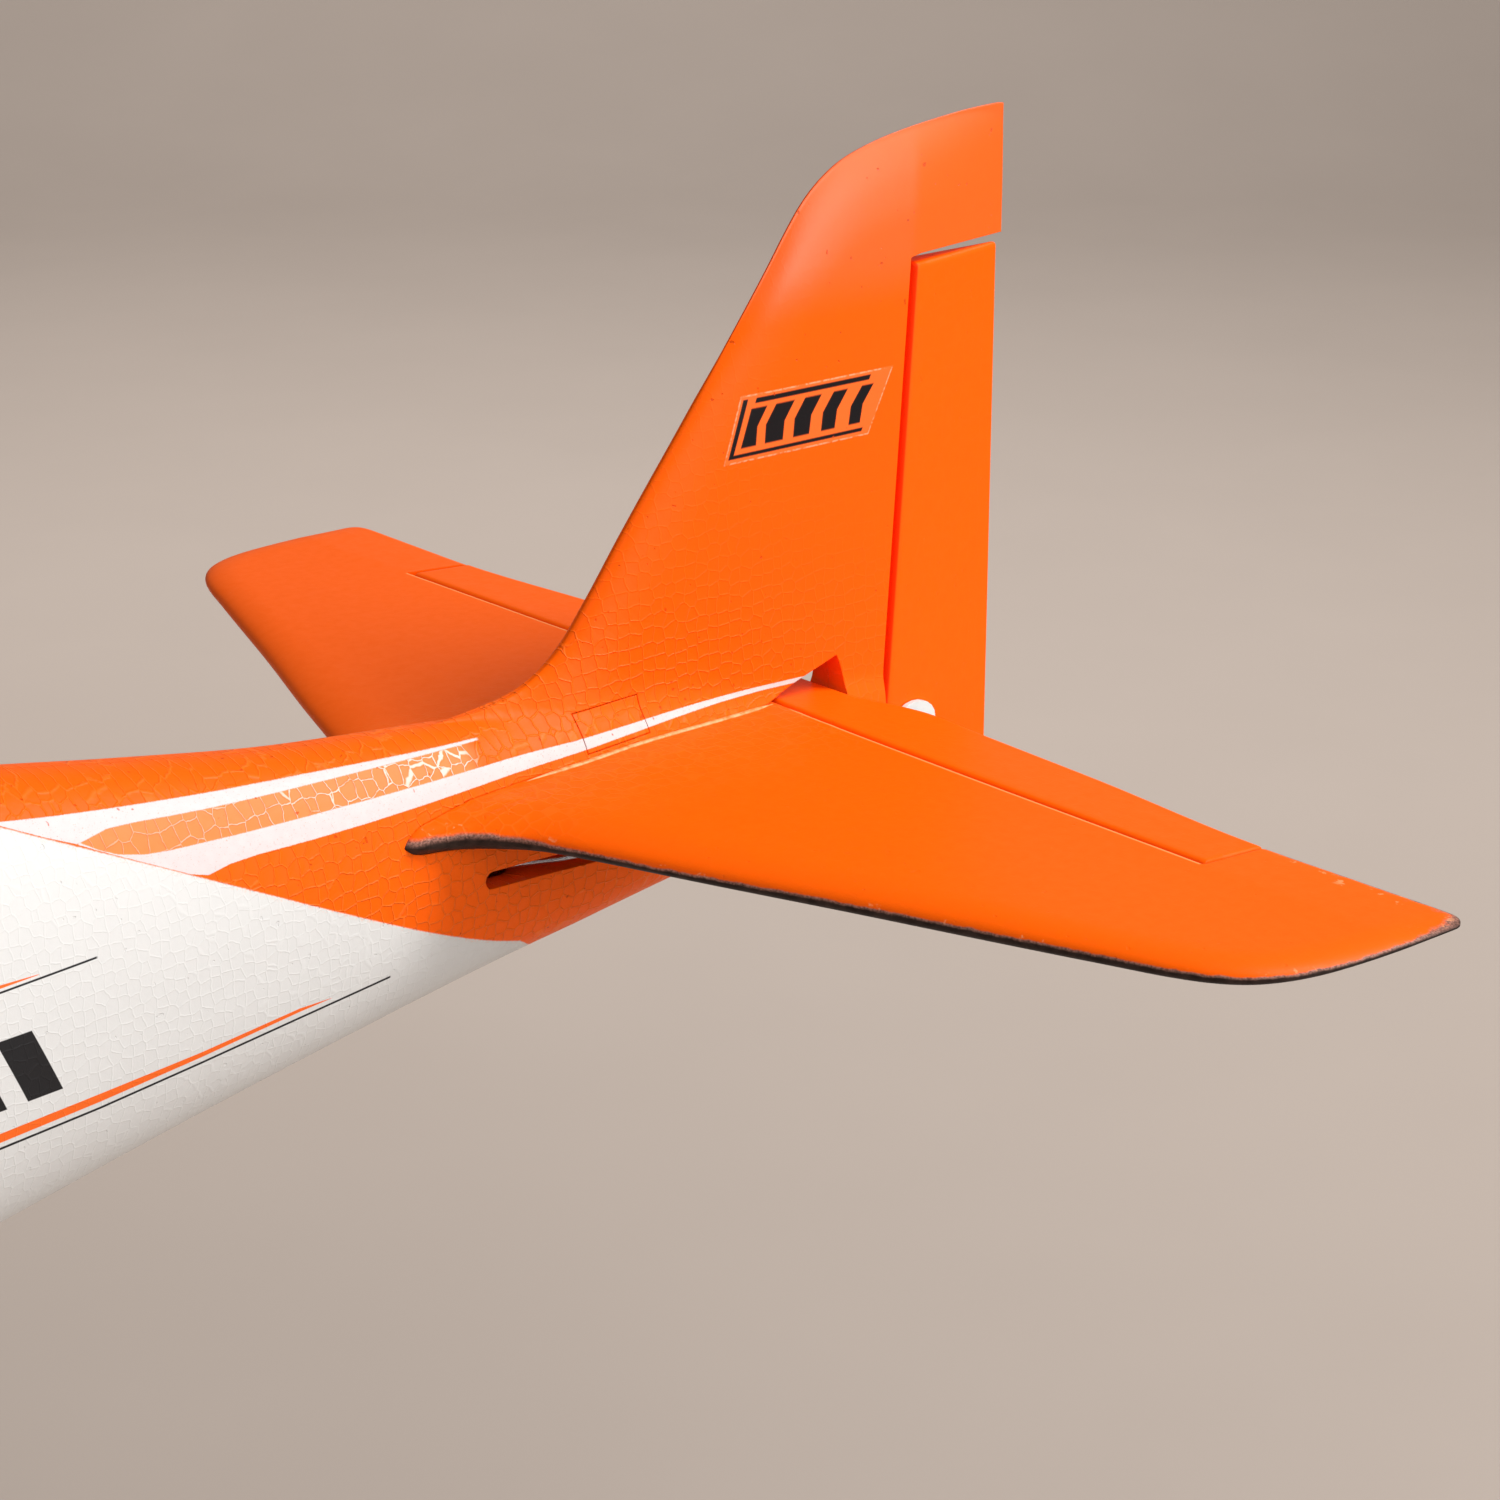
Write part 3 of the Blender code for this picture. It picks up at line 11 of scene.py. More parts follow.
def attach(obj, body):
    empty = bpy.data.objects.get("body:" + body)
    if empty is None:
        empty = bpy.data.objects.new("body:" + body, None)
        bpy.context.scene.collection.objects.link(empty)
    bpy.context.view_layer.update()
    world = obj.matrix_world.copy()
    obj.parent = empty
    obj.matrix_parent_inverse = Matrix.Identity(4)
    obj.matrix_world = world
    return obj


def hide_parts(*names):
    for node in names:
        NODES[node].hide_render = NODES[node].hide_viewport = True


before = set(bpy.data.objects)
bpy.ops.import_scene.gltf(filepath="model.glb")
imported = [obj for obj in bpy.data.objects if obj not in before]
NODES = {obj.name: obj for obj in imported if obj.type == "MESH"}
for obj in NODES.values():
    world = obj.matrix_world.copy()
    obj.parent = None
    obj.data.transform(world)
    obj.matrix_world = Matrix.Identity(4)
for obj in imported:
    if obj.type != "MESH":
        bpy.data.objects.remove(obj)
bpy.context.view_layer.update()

# ---------------------------------------------------------------- camera, floor, light
scene = bpy.context.scene
cam_data = bpy.data.cameras.new("camera")
cam_data.lens = 79.56
cam_data.sensor_width = 36.0
cam_data.clip_start = 0.05
cam_data.clip_end = 60.0
cam = bpy.data.objects.new("camera", cam_data)
scene.collection.objects.link(cam)
AZ, EL = math.radians(41.354), math.radians(19.685)
toward = Vector((math.sin(AZ) * math.cos(EL), math.cos(AZ) * math.cos(EL), math.sin(EL)))
cam.location = ((583.2 - 450.0) / 1000, 660.8 / 1000, (303.1 + 91.0) / 1000)
cam.rotation_euler = toward.to_track_quat("Z", "Y").to_euler()
scene.camera = cam
scene.view_settings.view_transform = "Standard"

# ---------------------------------------------------------------- dimensions
X_OFF = 450.0  # station of the world origin (wing spar)
Z_OFF = 91.0  # the skid's underside lies this far below the tailplane
GAP = 0.15  # half of the joint line between the two fuselage shells
WALL = 7.0  # foam wall of the fuselage
SPAN = 1500.0
TAIL_SPAN = 458.0
FIN_TE = -92.2  # trailing edge of fin tip and rudder
RUDDER_TOP = 119.8
FIN_GAP_Z = 122.6
ELEV_AXIS_X = -1.5
ELEV_HALF = 165.4
ARCH_R = 27.0
NOSE_X = 775.0
SHAFT_Z = -26.0
MOTOR_R = 14.0
SPINNER_R = 21.0
BLADE_PIN_Y = 16.0
BLADE_PIN_X = 800.0
BLADE_LEN = 95.0


# ---------------------------------------------------------------- curves
def pchip(xs, ys, x):
    """Smooth curve through a table of stations, without overshoot."""
    xs, ys = np.asarray(xs, float), np.asarray(ys, float)
    x = np.asarray(x, float)
    h = np.diff(xs)
    d = np.diff(ys) / h
    m = np.zeros(len(xs))
    m[0], m[-1] = d[0], d[-1]
    for k in range(1, len(xs) - 1):
        if d[k - 1] * d[k] > 0:
            a, b = 2 * h[k] + h[k - 1], h[k] + 2 * h[k - 1]
            m[k] = (a + b) / (a / d[k - 1] + b / d[k])
    i = np.clip(np.searchsorted(xs, x) - 1, 0, len(h) - 1)
    t = np.clip((x - xs[i]) / h[i], 0, 1)
    t2, t3 = t * t, t * t * t
    return (
        ys[i] * (2 * t3 - 3 * t2 + 1)
        + h[i] * m[i] * (t3 - 2 * t2 + t)
        + ys[i + 1] * (-2 * t3 + 3 * t2)
        + h[i] * m[i + 1] * (t3 - t2)
    )


def table(rows, column):
    rows = np.array(rows, float)
    return lambda x: pchip(rows[:, 0], rows[:, column], x)


def step(x, a, b):
    t = np.clip((np.asarray(x, float) - a) / (b - a), 0, 1)
    return t * t * (3 - 2 * t)


# station, bottom, crown, half width, height of the widest point
BODY = [
    (-100, -32.0, -4.0, 4.6, -14.0),
    (-50, -34.5, 0.5, 6.2, -14.0),
    (0, -37.4, 6.0, 11.2, -14.5),
    (30, -39.6, 10.5, 14.4, -15.0),
    (77, -44.6, 17.5, 18.8, -16.0),
    (112, -48.6, 21.0, 22.4, -16.6),
    (156, -54.6, 25.2, 26.8, -17.6),
    (200, -61.2, 32.2, 30.8, -18.6),
    (244, -68.8, 40.0, 34.6, -19.8),
    (280, -75.6, 44.8, 37.4, -21.2),
    (315, -82.6, 48.6, 39.6, -22.5),
    (360, -87.2, 53.0, 42.0, -23.5),
    (450, -88.0, 58.5, 45.0, -25.0),
    (530, -87.0, 57.0, 44.6, -26.0),
    (600, -81.5, 47.5, 41.2, -26.0),
    (660, -72.5, 33.0, 35.6, -26.0),
    (710, -62.0, 17.5, 29.2, -26.0),
    (745, -53.6, 5.0, 24.4, -26.0),
    (775, -46.0, -6.0, 20.0, -26.0),
]
body_bot, body_top = table(BODY, 1), table(BODY, 2)
body_w, body_zc = table(BODY, 3), table(BODY, 4)

# side-view outline of the spine, fillet, fin leading edge and fin tip
FIN_LINE = [
    (-95.0, 159.6),
    (-92.0, 160.2),
    (-82.7, 159.8),
    (-64.8, 158.0),
    (-48.0, 155.4),
    (-38.7, 153.2),
    (-31.0, 150.6),
    (-25.1, 147.4),
    (-20.0, 143.6),
    (-15.9, 139.6),
    (-10.0, 132.2),
    (-5.2, 125.6),
    (1.8, 116.4),
    (24.0, 88.6),
    (47.6, 59.4),
    (59.9, 43.4),
    (68.6, 33.2),
    (76.0, 27.6),
    (84.0, 23.9),
    (94.0, 21.9),
    (104.0, 21.2),
    (112.0, 21.0),
]
fin_line = table(FIN_LINE, 1)
_fx = np.concatenate([np.linspace(-95, -40, 30), np.linspace(-39, 112, 150)])
_FIN_POLY = np.stack([_fx, fin_line(_fx)], 1)


def outline_top(x):
    x = np.asarray(x, float)
    return np.where(x < 112, fin_line(np.minimum(x, 112)), body_top(x))


def poly_distance(poly, x, z):
    """Distance from points to a polyline."""
    p = np.stack([np.asarray(x, float).ravel(), np.asarray(z, float).ravel()], 1)
    best = np.full(len(p), 1e9)
    for a, b in zip(poly[:-1], poly[1:]):
        ab = b - a
        t = np.clip(((p - a) @ ab) / (ab @ ab), 0, 1)
        best = np.minimum(best, np.hypot(*(p - a - t[:, None] * ab).T))
    return best.reshape(np.shape(x))


def round_in(d, r):
    """Elliptic rounding: 0 at the edge, 1 at r inwards."""
    return np.sqrt(np.clip(1 - (1 - np.clip(d / r, 0, 1)) ** 2, 0, 1))


def hinge_x(z):
    """Rudder hinge line."""
    return -44.2 - 0.0854 * (np.asarray(z, float) + 7.6)


def fin_half(z):
    return pchip([-60, 0, 20, 120, 162], [6.2, 6.2, 6.0, 4.7, 4.2], z)


def skin(x, z):
    """Half width of fuselage and fin at a point of the side view."""
    x, z = np.broadcast_arrays(np.asarray(x, float), np.asarray(z, float))
    bot, top, zc, w = body_bot(x), body_top(x), body_zc(x), body_w(x)
    up = z > zc
    h = np.where(up, top - zc, zc - bot)
    zeta = np.abs(z - zc) / h
    n = np.where(up, 2.15, 2.4) - 0.0 * x
    n = n + (2.0 - n) * step(x, 690, 770)
    q = 1 - zeta**n
    finny = 1 - step(x, 62, 112)
    k = 0.22 * finny * up
    soft = (q + np.sqrt(q * q + k * k)) / 2
    soft = np.where(up, soft, np.clip(q, 0, None))
    base = w * np.power(np.clip(soft, 0, None), 1 / n)
    d = poly_distance(_FIN_POLY, x, z)
    edge = 1 - finny * (1 - np.minimum(round_in(d, 14.0), 1))
    base = base * np.where(up, edge, 1)
    aft = np.clip((hinge_x(z) - x) / (hinge_x(z) - FIN_TE), 0, 1.05)
    r_tip = 19 + 12 * step(z, 118, 150)
    fin = fin_half(z) * round_in(d, r_tip) * (1 - 0.84 * aft)
    fin = fin * (1 - step(x, 70, 112)) * round_in(z - bot, 14.0)
    return np.sqrt(base**2 + fin**2)


# tailplane: leading edge in plan, from root to tip, then the raked tip
STAB_LE = [
    (0, 137.0),
    (24.4, 137.0),
    (26.2, 126.5),
    (33.3, 117.2),
    (41.0, 110.8),
    (49.4, 107.2),
    (57.7, 104.1),
    (85.7, 94.0),
    (127.0, 78.3),
    (184.8, 57.4),
    (203.0, 50.6),
    (211.0, 46.2),
    (217.0, 41.0),
    (221.5, 34.0),
    (225.0, 24.0),
    (227.4, 8.0),
    (228.6, -10.0),
    (229.0, -20.0),
]
STAB_TE = [
    (0, -28.0),
    (18.0, -28.0),
    (26.0, -31.4),
    (38.0, -33.2),
    (59.0, -31.8),
    (105.0, -28.9),
    (166.0, -23.6),
    (200.0, -24.2),
    (222.0, -24.6),
    (229.0, -24.0),
]
stab_le, stab_te = table(STAB_LE, 1), table(STAB_TE, 1)
_sy = np.concatenate([[24.4, 24.9, 25.5, 26.2, 27.4], np.linspace(29.0, 205, 38), np.linspace(206, 229, 30)])
_STAB_POLY = np.stack([stab_le(_sy), _sy], 1)
_STAB_POLY = np.vstack([[(137.0, 0.0)], _STAB_POLY, [(-24.0, 229.0)]])


def stab_half(x, y):
    """Half thickness of tailplane and elevator at a point of the plan."""
    x, y = np.broadcast_arrays(np.asarray(x, float), np.abs(np.asarray(y, float)))
    full = pchip([0, 14, 26, 45, 80, 165, 230], [6.2, 6.1, 5.8, 5.3, 4.8, 4.1, 3.5], y)
    d = poly_distance(_STAB_POLY, x, y)
    r = 17 - 6 * step(y, 30, 160)
    fore = 1 - 0.34 * step(x, 62, -2)
    aft = np.clip(-x / 29.0, 0, 1.1)
    return full * round_in(d, r) * fore * (1 - 0.74 * aft)


# wing: y, leading edge, trailing edge, height of the flat underside, thickness ratio
WING = [
    (0, 530.0, 315.0, -88.0, 0.112),
    (46, 530.0, 315.0, -88.0, 0.112),
    (110, 527.5, 317.6, -83.6, 0.11),
    (300, 518.0, 327.0, -70.4, 0.105),
    (540, 499.0, 341.0, -52.0, 0.10),
    (575, 494.0, 344.0, -47.2, 0.10),
    (660, 474.0, 352.0, -26.0, 0.095),
    (715, 450.0, 359.0, -11.0, 0.09),
    (740, 426.0, 365.0, -3.6, 0.085),
    (750, 400.0, 372.0, 0.5, 0.08),
]
wing_le, wing_te = table(WING, 1), table(WING, 2)
wing_z, wing_t = table(WING, 3), table(WING, 4)
AIL_Y0, AIL_Y1 = 300.0, 530.0


def wing_surfaces(y, s):
    """x, lower z and upper z of the wing at share s of the chord from the nose."""
    y = abs(y)
    le, te, z0, t = wing_le(y), wing_te(y), wing_z(y), wing_t(y)
    c = le - te
    s = np.asarray(s, float)
    yt = 5 * t * (0.2969 * np.sqrt(s) - 0.126 * s - 0.3516 * s**2 + 0.2843 * s**3 - 0.1015 * s**4)
    m, p = 0.036, 0.4
    yc = np.where(s < p, m / p**2 * (2 * p * s - s * s), m / (1 - p) ** 2 * (1 - 2 * p + 2 * p * s - s * s))
    low = np.where(s < 0.3, 0.018 * (1 - s / 0.3) ** 2 * 1.0, 0.0) * c * (t / 0.11)
    nose = 0.026 * c
    lower = z0 + np.where(s < 0.3, nose * (1 - np.sqrt(np.clip(1 - (1 - s / 0.3) ** 2, 0, 1))) + low * 0.4, 0)
    upper = z0 + nose * 1.28 * (1 - s) ** 3 + (yt + yc) * c * 0.94 * (1 - 0.12 * (1 - s)) + 0.9
    upper = np.where(s <= 0, lower, upper)
    return le - s * c, lower, np.maximum(upper, lower + np.where(s <= 0, 0, 0.2))


def hinge_ail(y):
    """x of the aileron hinge line."""
    y = abs(y)
    return 366.0 + (y - AIL_Y0) * (374.5 - 366.0) / (AIL_Y1 - AIL_Y0)



def pillow(P, Q):
    """Closed skin from an upper and a lower grid of points, sharing the rim points that coincide."""
    P, Q = np.asarray(P, float), np.asarray(Q, float)
    n, m = P.shape[:2]
    verts, top, low = [], np.zeros((n, m), int), np.zeros((n, m), int)
    for i in range(n):
        for j in range(m):
            top[i, j] = len(verts)
            verts.append(P[i, j])
            if np.linalg.norm(P[i, j] - Q[i, j]) < 1e-4:
                low[i, j] = top[i, j]
            else:
                low[i, j] = len(verts)
                verts.append(Q[i, j])
    faces = []
    for i in range(n - 1):
        for j in range(m - 1):
            for k, turn in ((top, 1), (low, -1)):
                a, b, c, d = k[i, j], k[i + 1, j], k[i + 1, j + 1], k[i, j + 1]
                faces += [[a, b, c][::turn], [a, c, d][::turn]]
    rim = (
        [(0, j) for j in range(m)]
        + [(i, m - 1) for i in range(1, n)]
        + [(n - 1, j) for j in range(m - 2, -1, -1)]
        + [(i, 0) for i in range(n - 2, 0, -1)]
    )
    for a, b in zip(rim, rim[1:] + rim[:1]):
        f = []
        for v in (top[a], top[b], low[b], low[a]):
            if v not in f:
                f.append(v)
        if len(f) > 2:
            faces.append(f)
    return verts, faces



def loft(rings):
    """Closed rings of equal count, with flat end caps."""
    n = len(rings[0])
    verts = [p for r in rings for p in r]
    faces = [list(range(n))[::-1], [len(verts) - n + k for k in range(n)]]
    for i in range(len(rings) - 1):
        for k in range(n):
            a, b = i * n + k, i * n + (k + 1) % n
            faces.append([a, b, b + n, a + n])
    return verts, faces


def prism(points, plane, lo, hi):
    """Outline of 2-D points extruded along the axis that plane leaves out."""
    put = {
        "xz": lambda a, b, c: (a, c, b),
        "xy": lambda a, b, c: (a, b, c),
        "yz": lambda a, b, c: (c, a, b),
    }[plane]
    return loft([[put(a, b, lo) for a, b in points], [put(a, b, hi) for a, b in points]])


def box(lo, hi):
    (x0, y0, z0), (x1, y1, z1) = lo, hi
    return prism([(x0, y0), (x1, y0), (x1, y1), (x0, y1)], "xy", z0, z1)


def rounded(x0, z0, x1, z1, r, n=4):
    """Rounded rectangle outline."""
    pts = []
    for cx, cz, a0 in ((x1 - r, z0 + r, -90), (x1 - r, z1 - r, 0), (x0 + r, z1 - r, 90), (x0 + r, z0 + r, 180)):
        for k in range(n + 1):
            a = math.radians(a0 + 90 * k / n)
            pts.append((cx + r * math.cos(a), cz + r * math.sin(a)))
    return pts


def disc(cx, cz, r, n=16, a0=0.0, a1=360.0):
    full = abs(a1 - a0 - 360) < 1e-6
    k = n if full else n + 1
    return [
        (cx + r * math.cos(math.radians(a0 + (a1 - a0) * i / n)), cz + r * math.sin(math.radians(a0 + (a1 - a0) * i / n)))
        for i in range(k)
    ]


def turned(profile, centre, axis, n=24):
    """Lathe: profile of (along, radius) pairs about an axis through centre."""
    axis = np.array(axis, float)
    axis /= np.linalg.norm(axis)
    side = np.cross(axis, [0, 0, 1.0])
    if np.linalg.norm(side) < 1e-6:
        side = np.array([0, 1.0, 0])
    side /= np.linalg.norm(side)
    other = np.cross(axis, side)
    verts, rows = [], []
    for a, r in profile:
        c = np.array(centre, float) + axis * a
        if r < 1e-6:
            rows.append([len(verts)] * n)
            verts.append(c)
        else:
            rows.append(list(range(len(verts), len(verts) + n)))
            for k in range(n):
                t = 2 * math.pi * k / n
                verts.append(c + r * (math.cos(t) * side + math.sin(t) * other))
    faces = []
    closed = profile[0][1] > 1e-6 and profile[-1][1] > 1e-6
    pairs = list(zip(rows[:-1], rows[1:]))
    if closed:
        pairs.append((rows[-1], rows[0]))
    for r0, r1 in pairs:
        for k in range(n):
            f = []
            for v in (r0[k], r0[(k + 1) % n], r1[(k + 1) % n], r1[k]):
                if v not in f:
                    f.append(v)
            if len(f) > 2:
                faces.append(f)
    return verts, faces


def rod(p0, p1, r, n=10, t0=0.0):
    d = np.array(p1, float) - np.array(p0, float)
    return turned([(0, 0), (0, r), (np.linalg.norm(d), r), (np.linalg.norm(d), 0)], p0, d, n)



# hollow of the fuselage
def floor_z(x):
    """Lowest height of the equipment bay: over the wing it is a flat deck."""
    deck = -58.0
    low = body_bot(x) + WALL
    inside = step(x, 292, 306) * (1 - step(x, 540, 554))
    return low + (np.maximum(low, deck) - low) * inside


def bay(x, z):
    """Half width of the hollow inside a shell."""
    wall = WALL - 2.6 * step(x, 690, 745)
    w = skin(x, z) - wall
    w = np.minimum(w, (z - floor_z(x)) * 70.0)
    w = w * step(x, 82, 102)
    return np.clip(w, 0, None)


def shell_grid(xs, n_low, n_high):
    zs = []
    for x in xs:
        zb, zt, bt = float(body_bot(x)), float(outline_top(x)), float(body_top(x))
        split = min(bt + 5.0, zb + 0.66 * (zt - zb))
        fl = float(floor_z(x))
        a = np.linspace(0, 1, n_low - 3) ** 1.15
        low = np.concatenate([[zb, zb + 0.7, zb + 2.6, (zb + 2.6 + fl) / 2], fl + (split - fl) * a])
        low[5] = fl + 0.8
        b = np.linspace(0, 1, n_high + 1)[1:]
        high = split + (zt - split) * np.sin(b * math.pi / 2) ** 1.05
        zs.append(np.concatenate([low, high]))
    return np.array(zs)



rudder_zone = [
    (hinge_x(-60) + 1.2, -60),
    (hinge_x(121.6) + 1.2, 121.6),
    (hinge_x(121.6) - 3.0, 122.3),
    (-96, 123.4),
    (-110, 123.4),
    (-110, -60),
]
ARCH_A = 26.5
arch_zone = (
    [(12.0, 2.0), (ELEV_AXIS_X, 5.2)]
    + disc(ELEV_AXIS_X, 0, ARCH_R, 8, 180 - ARCH_A, 180 + ARCH_A)
    + [(ELEV_AXIS_X, -5.2), (12.0, -2.0)]
)
canopy_zone = [(452, 80), (474, 27), (698, -3), (722, 16), (722, 80)]


def grow(points, g):
    """Outline moved outwards by g (convex outline, either way round)."""
    c = np.mean(points, 0)
    pts = [np.array(p, float) for p in points]
    out = []
    n = len(pts)
    area = sum(pts[i][0] * pts[(i + 1) % n][1] - pts[(i + 1) % n][0] * pts[i][1] for i in range(n))
    s = 1 if area > 0 else -1
    for i in range(n):
        a, b, c2 = pts[i - 1], pts[i], pts[(i + 1) % n]
        n1 = np.array([(b - a)[1], -(b - a)[0]]) * s
        n2 = np.array([(c2 - b)[1], -(c2 - b)[0]]) * s
        n1, n2 = n1 / np.linalg.norm(n1), n2 / np.linalg.norm(n2)
        k = (n1 + n2) / (1 + n1 @ n2)
        out.append(tuple(b + g * k))
    return out



def wing_grid(side, ys, s, grow_by=0.0):
    P, Q = [], []
    for y in ys:
        x, lo, up = wing_surfaces(y, s)
        yy = side * max(y, GAP)
        P.append(np.stack([x, np.full_like(x, yy), up + grow_by], 1))
        Q.append(np.stack([x, np.full_like(x, yy), lo], 1))
    return np.array(P), np.array(Q)



CHORD = 0.5 - 0.5 * np.cos(np.linspace(0, 1, 13) * math.pi)
cx, clo, cup = wing_surfaces(0, CHORD)
cup = cup + 0.35
cup[0], cup[-1] = cup[1] * 0.4 + cup[0] * 0.6 + 1.0, cup[-1] + 0.6
saddle_line = [(530.6, cup[0])] + [(a, b) for a, b in zip(cx[1:-1], cup[1:-1])] + [(314.2, cup[-1]), (314.2, -130), (530.6, -130)]

STAB_X = np.array([0, 0.03, 0.09, 0.18, 0.3, 0.45, 0.62, 0.8, 1.0])


def stab_solid(ys, g=0.0):
    P, Q = [], []
    for y in ys:
        le, te = float(stab_le(abs(y))), float(stab_te(abs(y)))
        x = le + (te - le) * STAB_X
        h = stab_half(x, y)
        h[0] = 0
        h[1:] = np.maximum(h[1:], 0.25)
        if g:
            x, h = np.append(x[:7], -0.4), np.append(h[:7], h[7] + 0.3) + g
            x[0] += 2 * g
            h[0] = 0.5 * h[1]
        P.append(np.stack([x, np.full_like(x, y), h], 1))
        Q.append(np.stack([x, np.full_like(x, y), -h], 1))
    return np.array(P), np.array(Q)


cut_stab = stab_solid(np.array([-45, -36, -29.5, -25.5, -23, -10, 0, 10, 23, 25.5, 29.5, 36, 45.0]), 0.35)

SLOT = (
    [(109.0 + 2.1 * math.cos(a), -16.1 + 2.1 * math.sin(a)) for a in np.linspace(math.pi / 2, -math.pi / 2, 5)]
    + [(44.0, -23.2), (44.0, -19.0)]
)
INSERT = (48.4, 71.4, 7.6, 16.8)  # moulded filler piece over the tailplane slot, in side view


def insert_patch(side, g, y_in, y_out):
    """Skin-following block: g is the clearance to its recess, y_in and y_out are measured from the skin."""
    x0, x1, z0, z1 = INSERT
    P, Q = [], []
    for x in np.linspace(x0 - g, x1 + g, 5):
        zs = np.linspace(z0 - g, z1 + g, 5)
        zs = np.minimum(zs, outline_top(x) - 1.2)
        h = skin(x, zs)
        P.append([(x, side * max(a + y_out, 1.0), z) for a, z in zip(h, zs)])
        Q.append([(x, side * max(a - y_in, 0.9), z) for a, z in zip(h, zs)])
    return pillow(P, Q)






# ---------------------------------------------------------------- shader graphs
class Graph:
    """A material of a Principled shader; coordinates are the piece's own, in station millimetres."""

    def __init__(self, name):
        self.mat = bpy.data.materials.new(name)
        self.mat.use_nodes = True
        self.t = self.mat.node_tree
        self.t.nodes.clear()
        out = self.t.nodes.new("ShaderNodeOutputMaterial")
        self.b = self.t.nodes.new("ShaderNodeBsdfPrincipled")
        self.t.links.new(self.b.outputs[0], out.inputs["Surface"])
        tc = self.t.nodes.new("ShaderNodeTexCoord")
        self.p = self.vec("MULTIPLY_ADD", tc.outputs["Object"], (1000, 1000, 1000), (X_OFF, 0, -Z_OFF))
        s = self.t.nodes.new("ShaderNodeSeparateXYZ")
        self.t.links.new(self.p, s.inputs[0])
        self.x, self.y, self.z = s.outputs
        self.side = self.m("ABSOLUTE", self.y)

    def put(self, socket, v):
        if isinstance(v, bpy.types.NodeSocket):
            self.t.links.new(v, socket)
        elif isinstance(v, (tuple, list)) and len(v) == 3 and socket.type == "RGBA":
            socket.default_value = (*v, 1)
        else:
            socket.default_value = v

    def m(self, op, a, b=None, c=None):
        n = self.t.nodes.new("ShaderNodeMath")
        n.operation = op
        for s, v in zip(n.inputs, (a, b, c)):
            if v is not None:
                self.put(s, v)
        return n.outputs[0]

    def add(self, a, b):
        return self.m("ADD", a, b)

    def sub(self, a, b):
        return self.m("SUBTRACT", a, b)

    def mul(self, a, *rest):
        for b in rest:
            a = self.m("MULTIPLY", a, b)
        return a

    def vec(self, op, a, b=None, c=None):
        n = self.t.nodes.new("ShaderNodeVectorMath")
        n.operation = op
        for s, v in zip(n.inputs, (a, b, c)):
            if v is not None:
                self.put(s, v)
        return n.outputs[0]

    def mix(self, f, a, b):
        n = self.t.nodes.new("ShaderNodeMix")
        n.data_type = "RGBA"
        self.put(n.inputs[0], f)
        self.put(n.inputs[6], a)
        self.put(n.inputs[7], b)
        return n.outputs[2]

    def blend(self, f, a, b):
        n = self.t.nodes.new("ShaderNodeMix")
        self.put(n.inputs[0], f)
        self.put(n.inputs[2], a)
        self.put(n.inputs[3], b)
        return n.outputs[0]

    def rise(self, v, a, b):
        """0 below a, 1 above b, smooth between; a may be over b to fall."""
        n = self.t.nodes.new("ShaderNodeMapRange")
        n.interpolation_type = "SMOOTHSTEP"
        if a > b:
            a, b = b, a
            n.inputs["To Min"].default_value, n.inputs["To Max"].default_value = 1, 0
        self.put(n.inputs["Value"], v)
        n.inputs["From Min"].default_value, n.inputs["From Max"].default_value = a, b
        return n.outputs[0]

    def noise(self, scale, detail=2.0, rough=0.5, v=None, stretch=None):
        n = self.t.nodes.new("ShaderNodeTexNoise")
        p = v or self.p
        if stretch:
            p = self.vec("MULTIPLY", p, stretch)
        self.t.links.new(p, n.inputs["Vector"])
        n.inputs["Scale"].default_value = scale
        n.inputs["Detail"].default_value = detail
        n.inputs["Roughness"].default_value = rough
        return n.outputs["Fac"]

    def cells(self, size, stretch=(1, 1, 1), feature="DISTANCE_TO_EDGE"):
        n = self.t.nodes.new("ShaderNodeTexVoronoi")
        n.feature = feature
        wob = self.t.nodes.new("ShaderNodeTexNoise")
        self.t.links.new(self.p, wob.inputs["Vector"])
        wob.inputs["Scale"].default_value = 0.4
        off = self.vec("MULTIPLY_ADD", wob.outputs["Color"], (1.1, 1.1, 1.1), self.p)
        self.t.links.new(self.vec("MULTIPLY", off, stretch), n.inputs["Vector"])
        n.inputs["Scale"].default_value = 1.0 / size
        n.inputs["Randomness"].default_value = 0.52
        return n.outputs["Distance"] if feature != "F1" else n.outputs["Color"]

    def curve(self, v, pts, smooth=False):
        """Value of a broken line through (x, y) points, held flat past its ends."""
        pts = sorted(pts)
        xs, ys = [p[0] for p in pts], [p[1] for p in pts]
        x0, x1 = xs[0], xs[-1]
        y0, y1 = min(ys), max(ys)
        if y1 - y0 < 1e-6:
            y1 = y0 + 1
        n = self.t.nodes.new("ShaderNodeFloatCurve")
        c = n.mapping.curves[0]
        while len(c.points) < len(pts):
            c.points.new(0.5, 0.5)
        for p, x, y in zip(c.points, xs, ys):
            p.location = ((x - x0) / (x1 - x0), (y - y0) / (y1 - y0))
            p.handle_type = "AUTO_CLAMPED" if smooth else "VECTOR"
        n.mapping.update()
        u = self.m("MULTIPLY_ADD", v, 1 / (x1 - x0), -x0 / (x1 - x0))
        u = self.m("MINIMUM", self.m("MAXIMUM", u, 0.0), 1.0)
        self.t.links.new(u, n.inputs["Value"])
        return self.m("MULTIPLY_ADD", n.outputs[0], y1 - y0, y0)

    def band(self, v, lo, hi, soft=0.25):
        """1 between lo and hi (numbers or sockets)."""
        return self.mul(self.rise(self.sub(v, lo), -soft, soft), self.rise(self.sub(hi, v), -soft, soft))

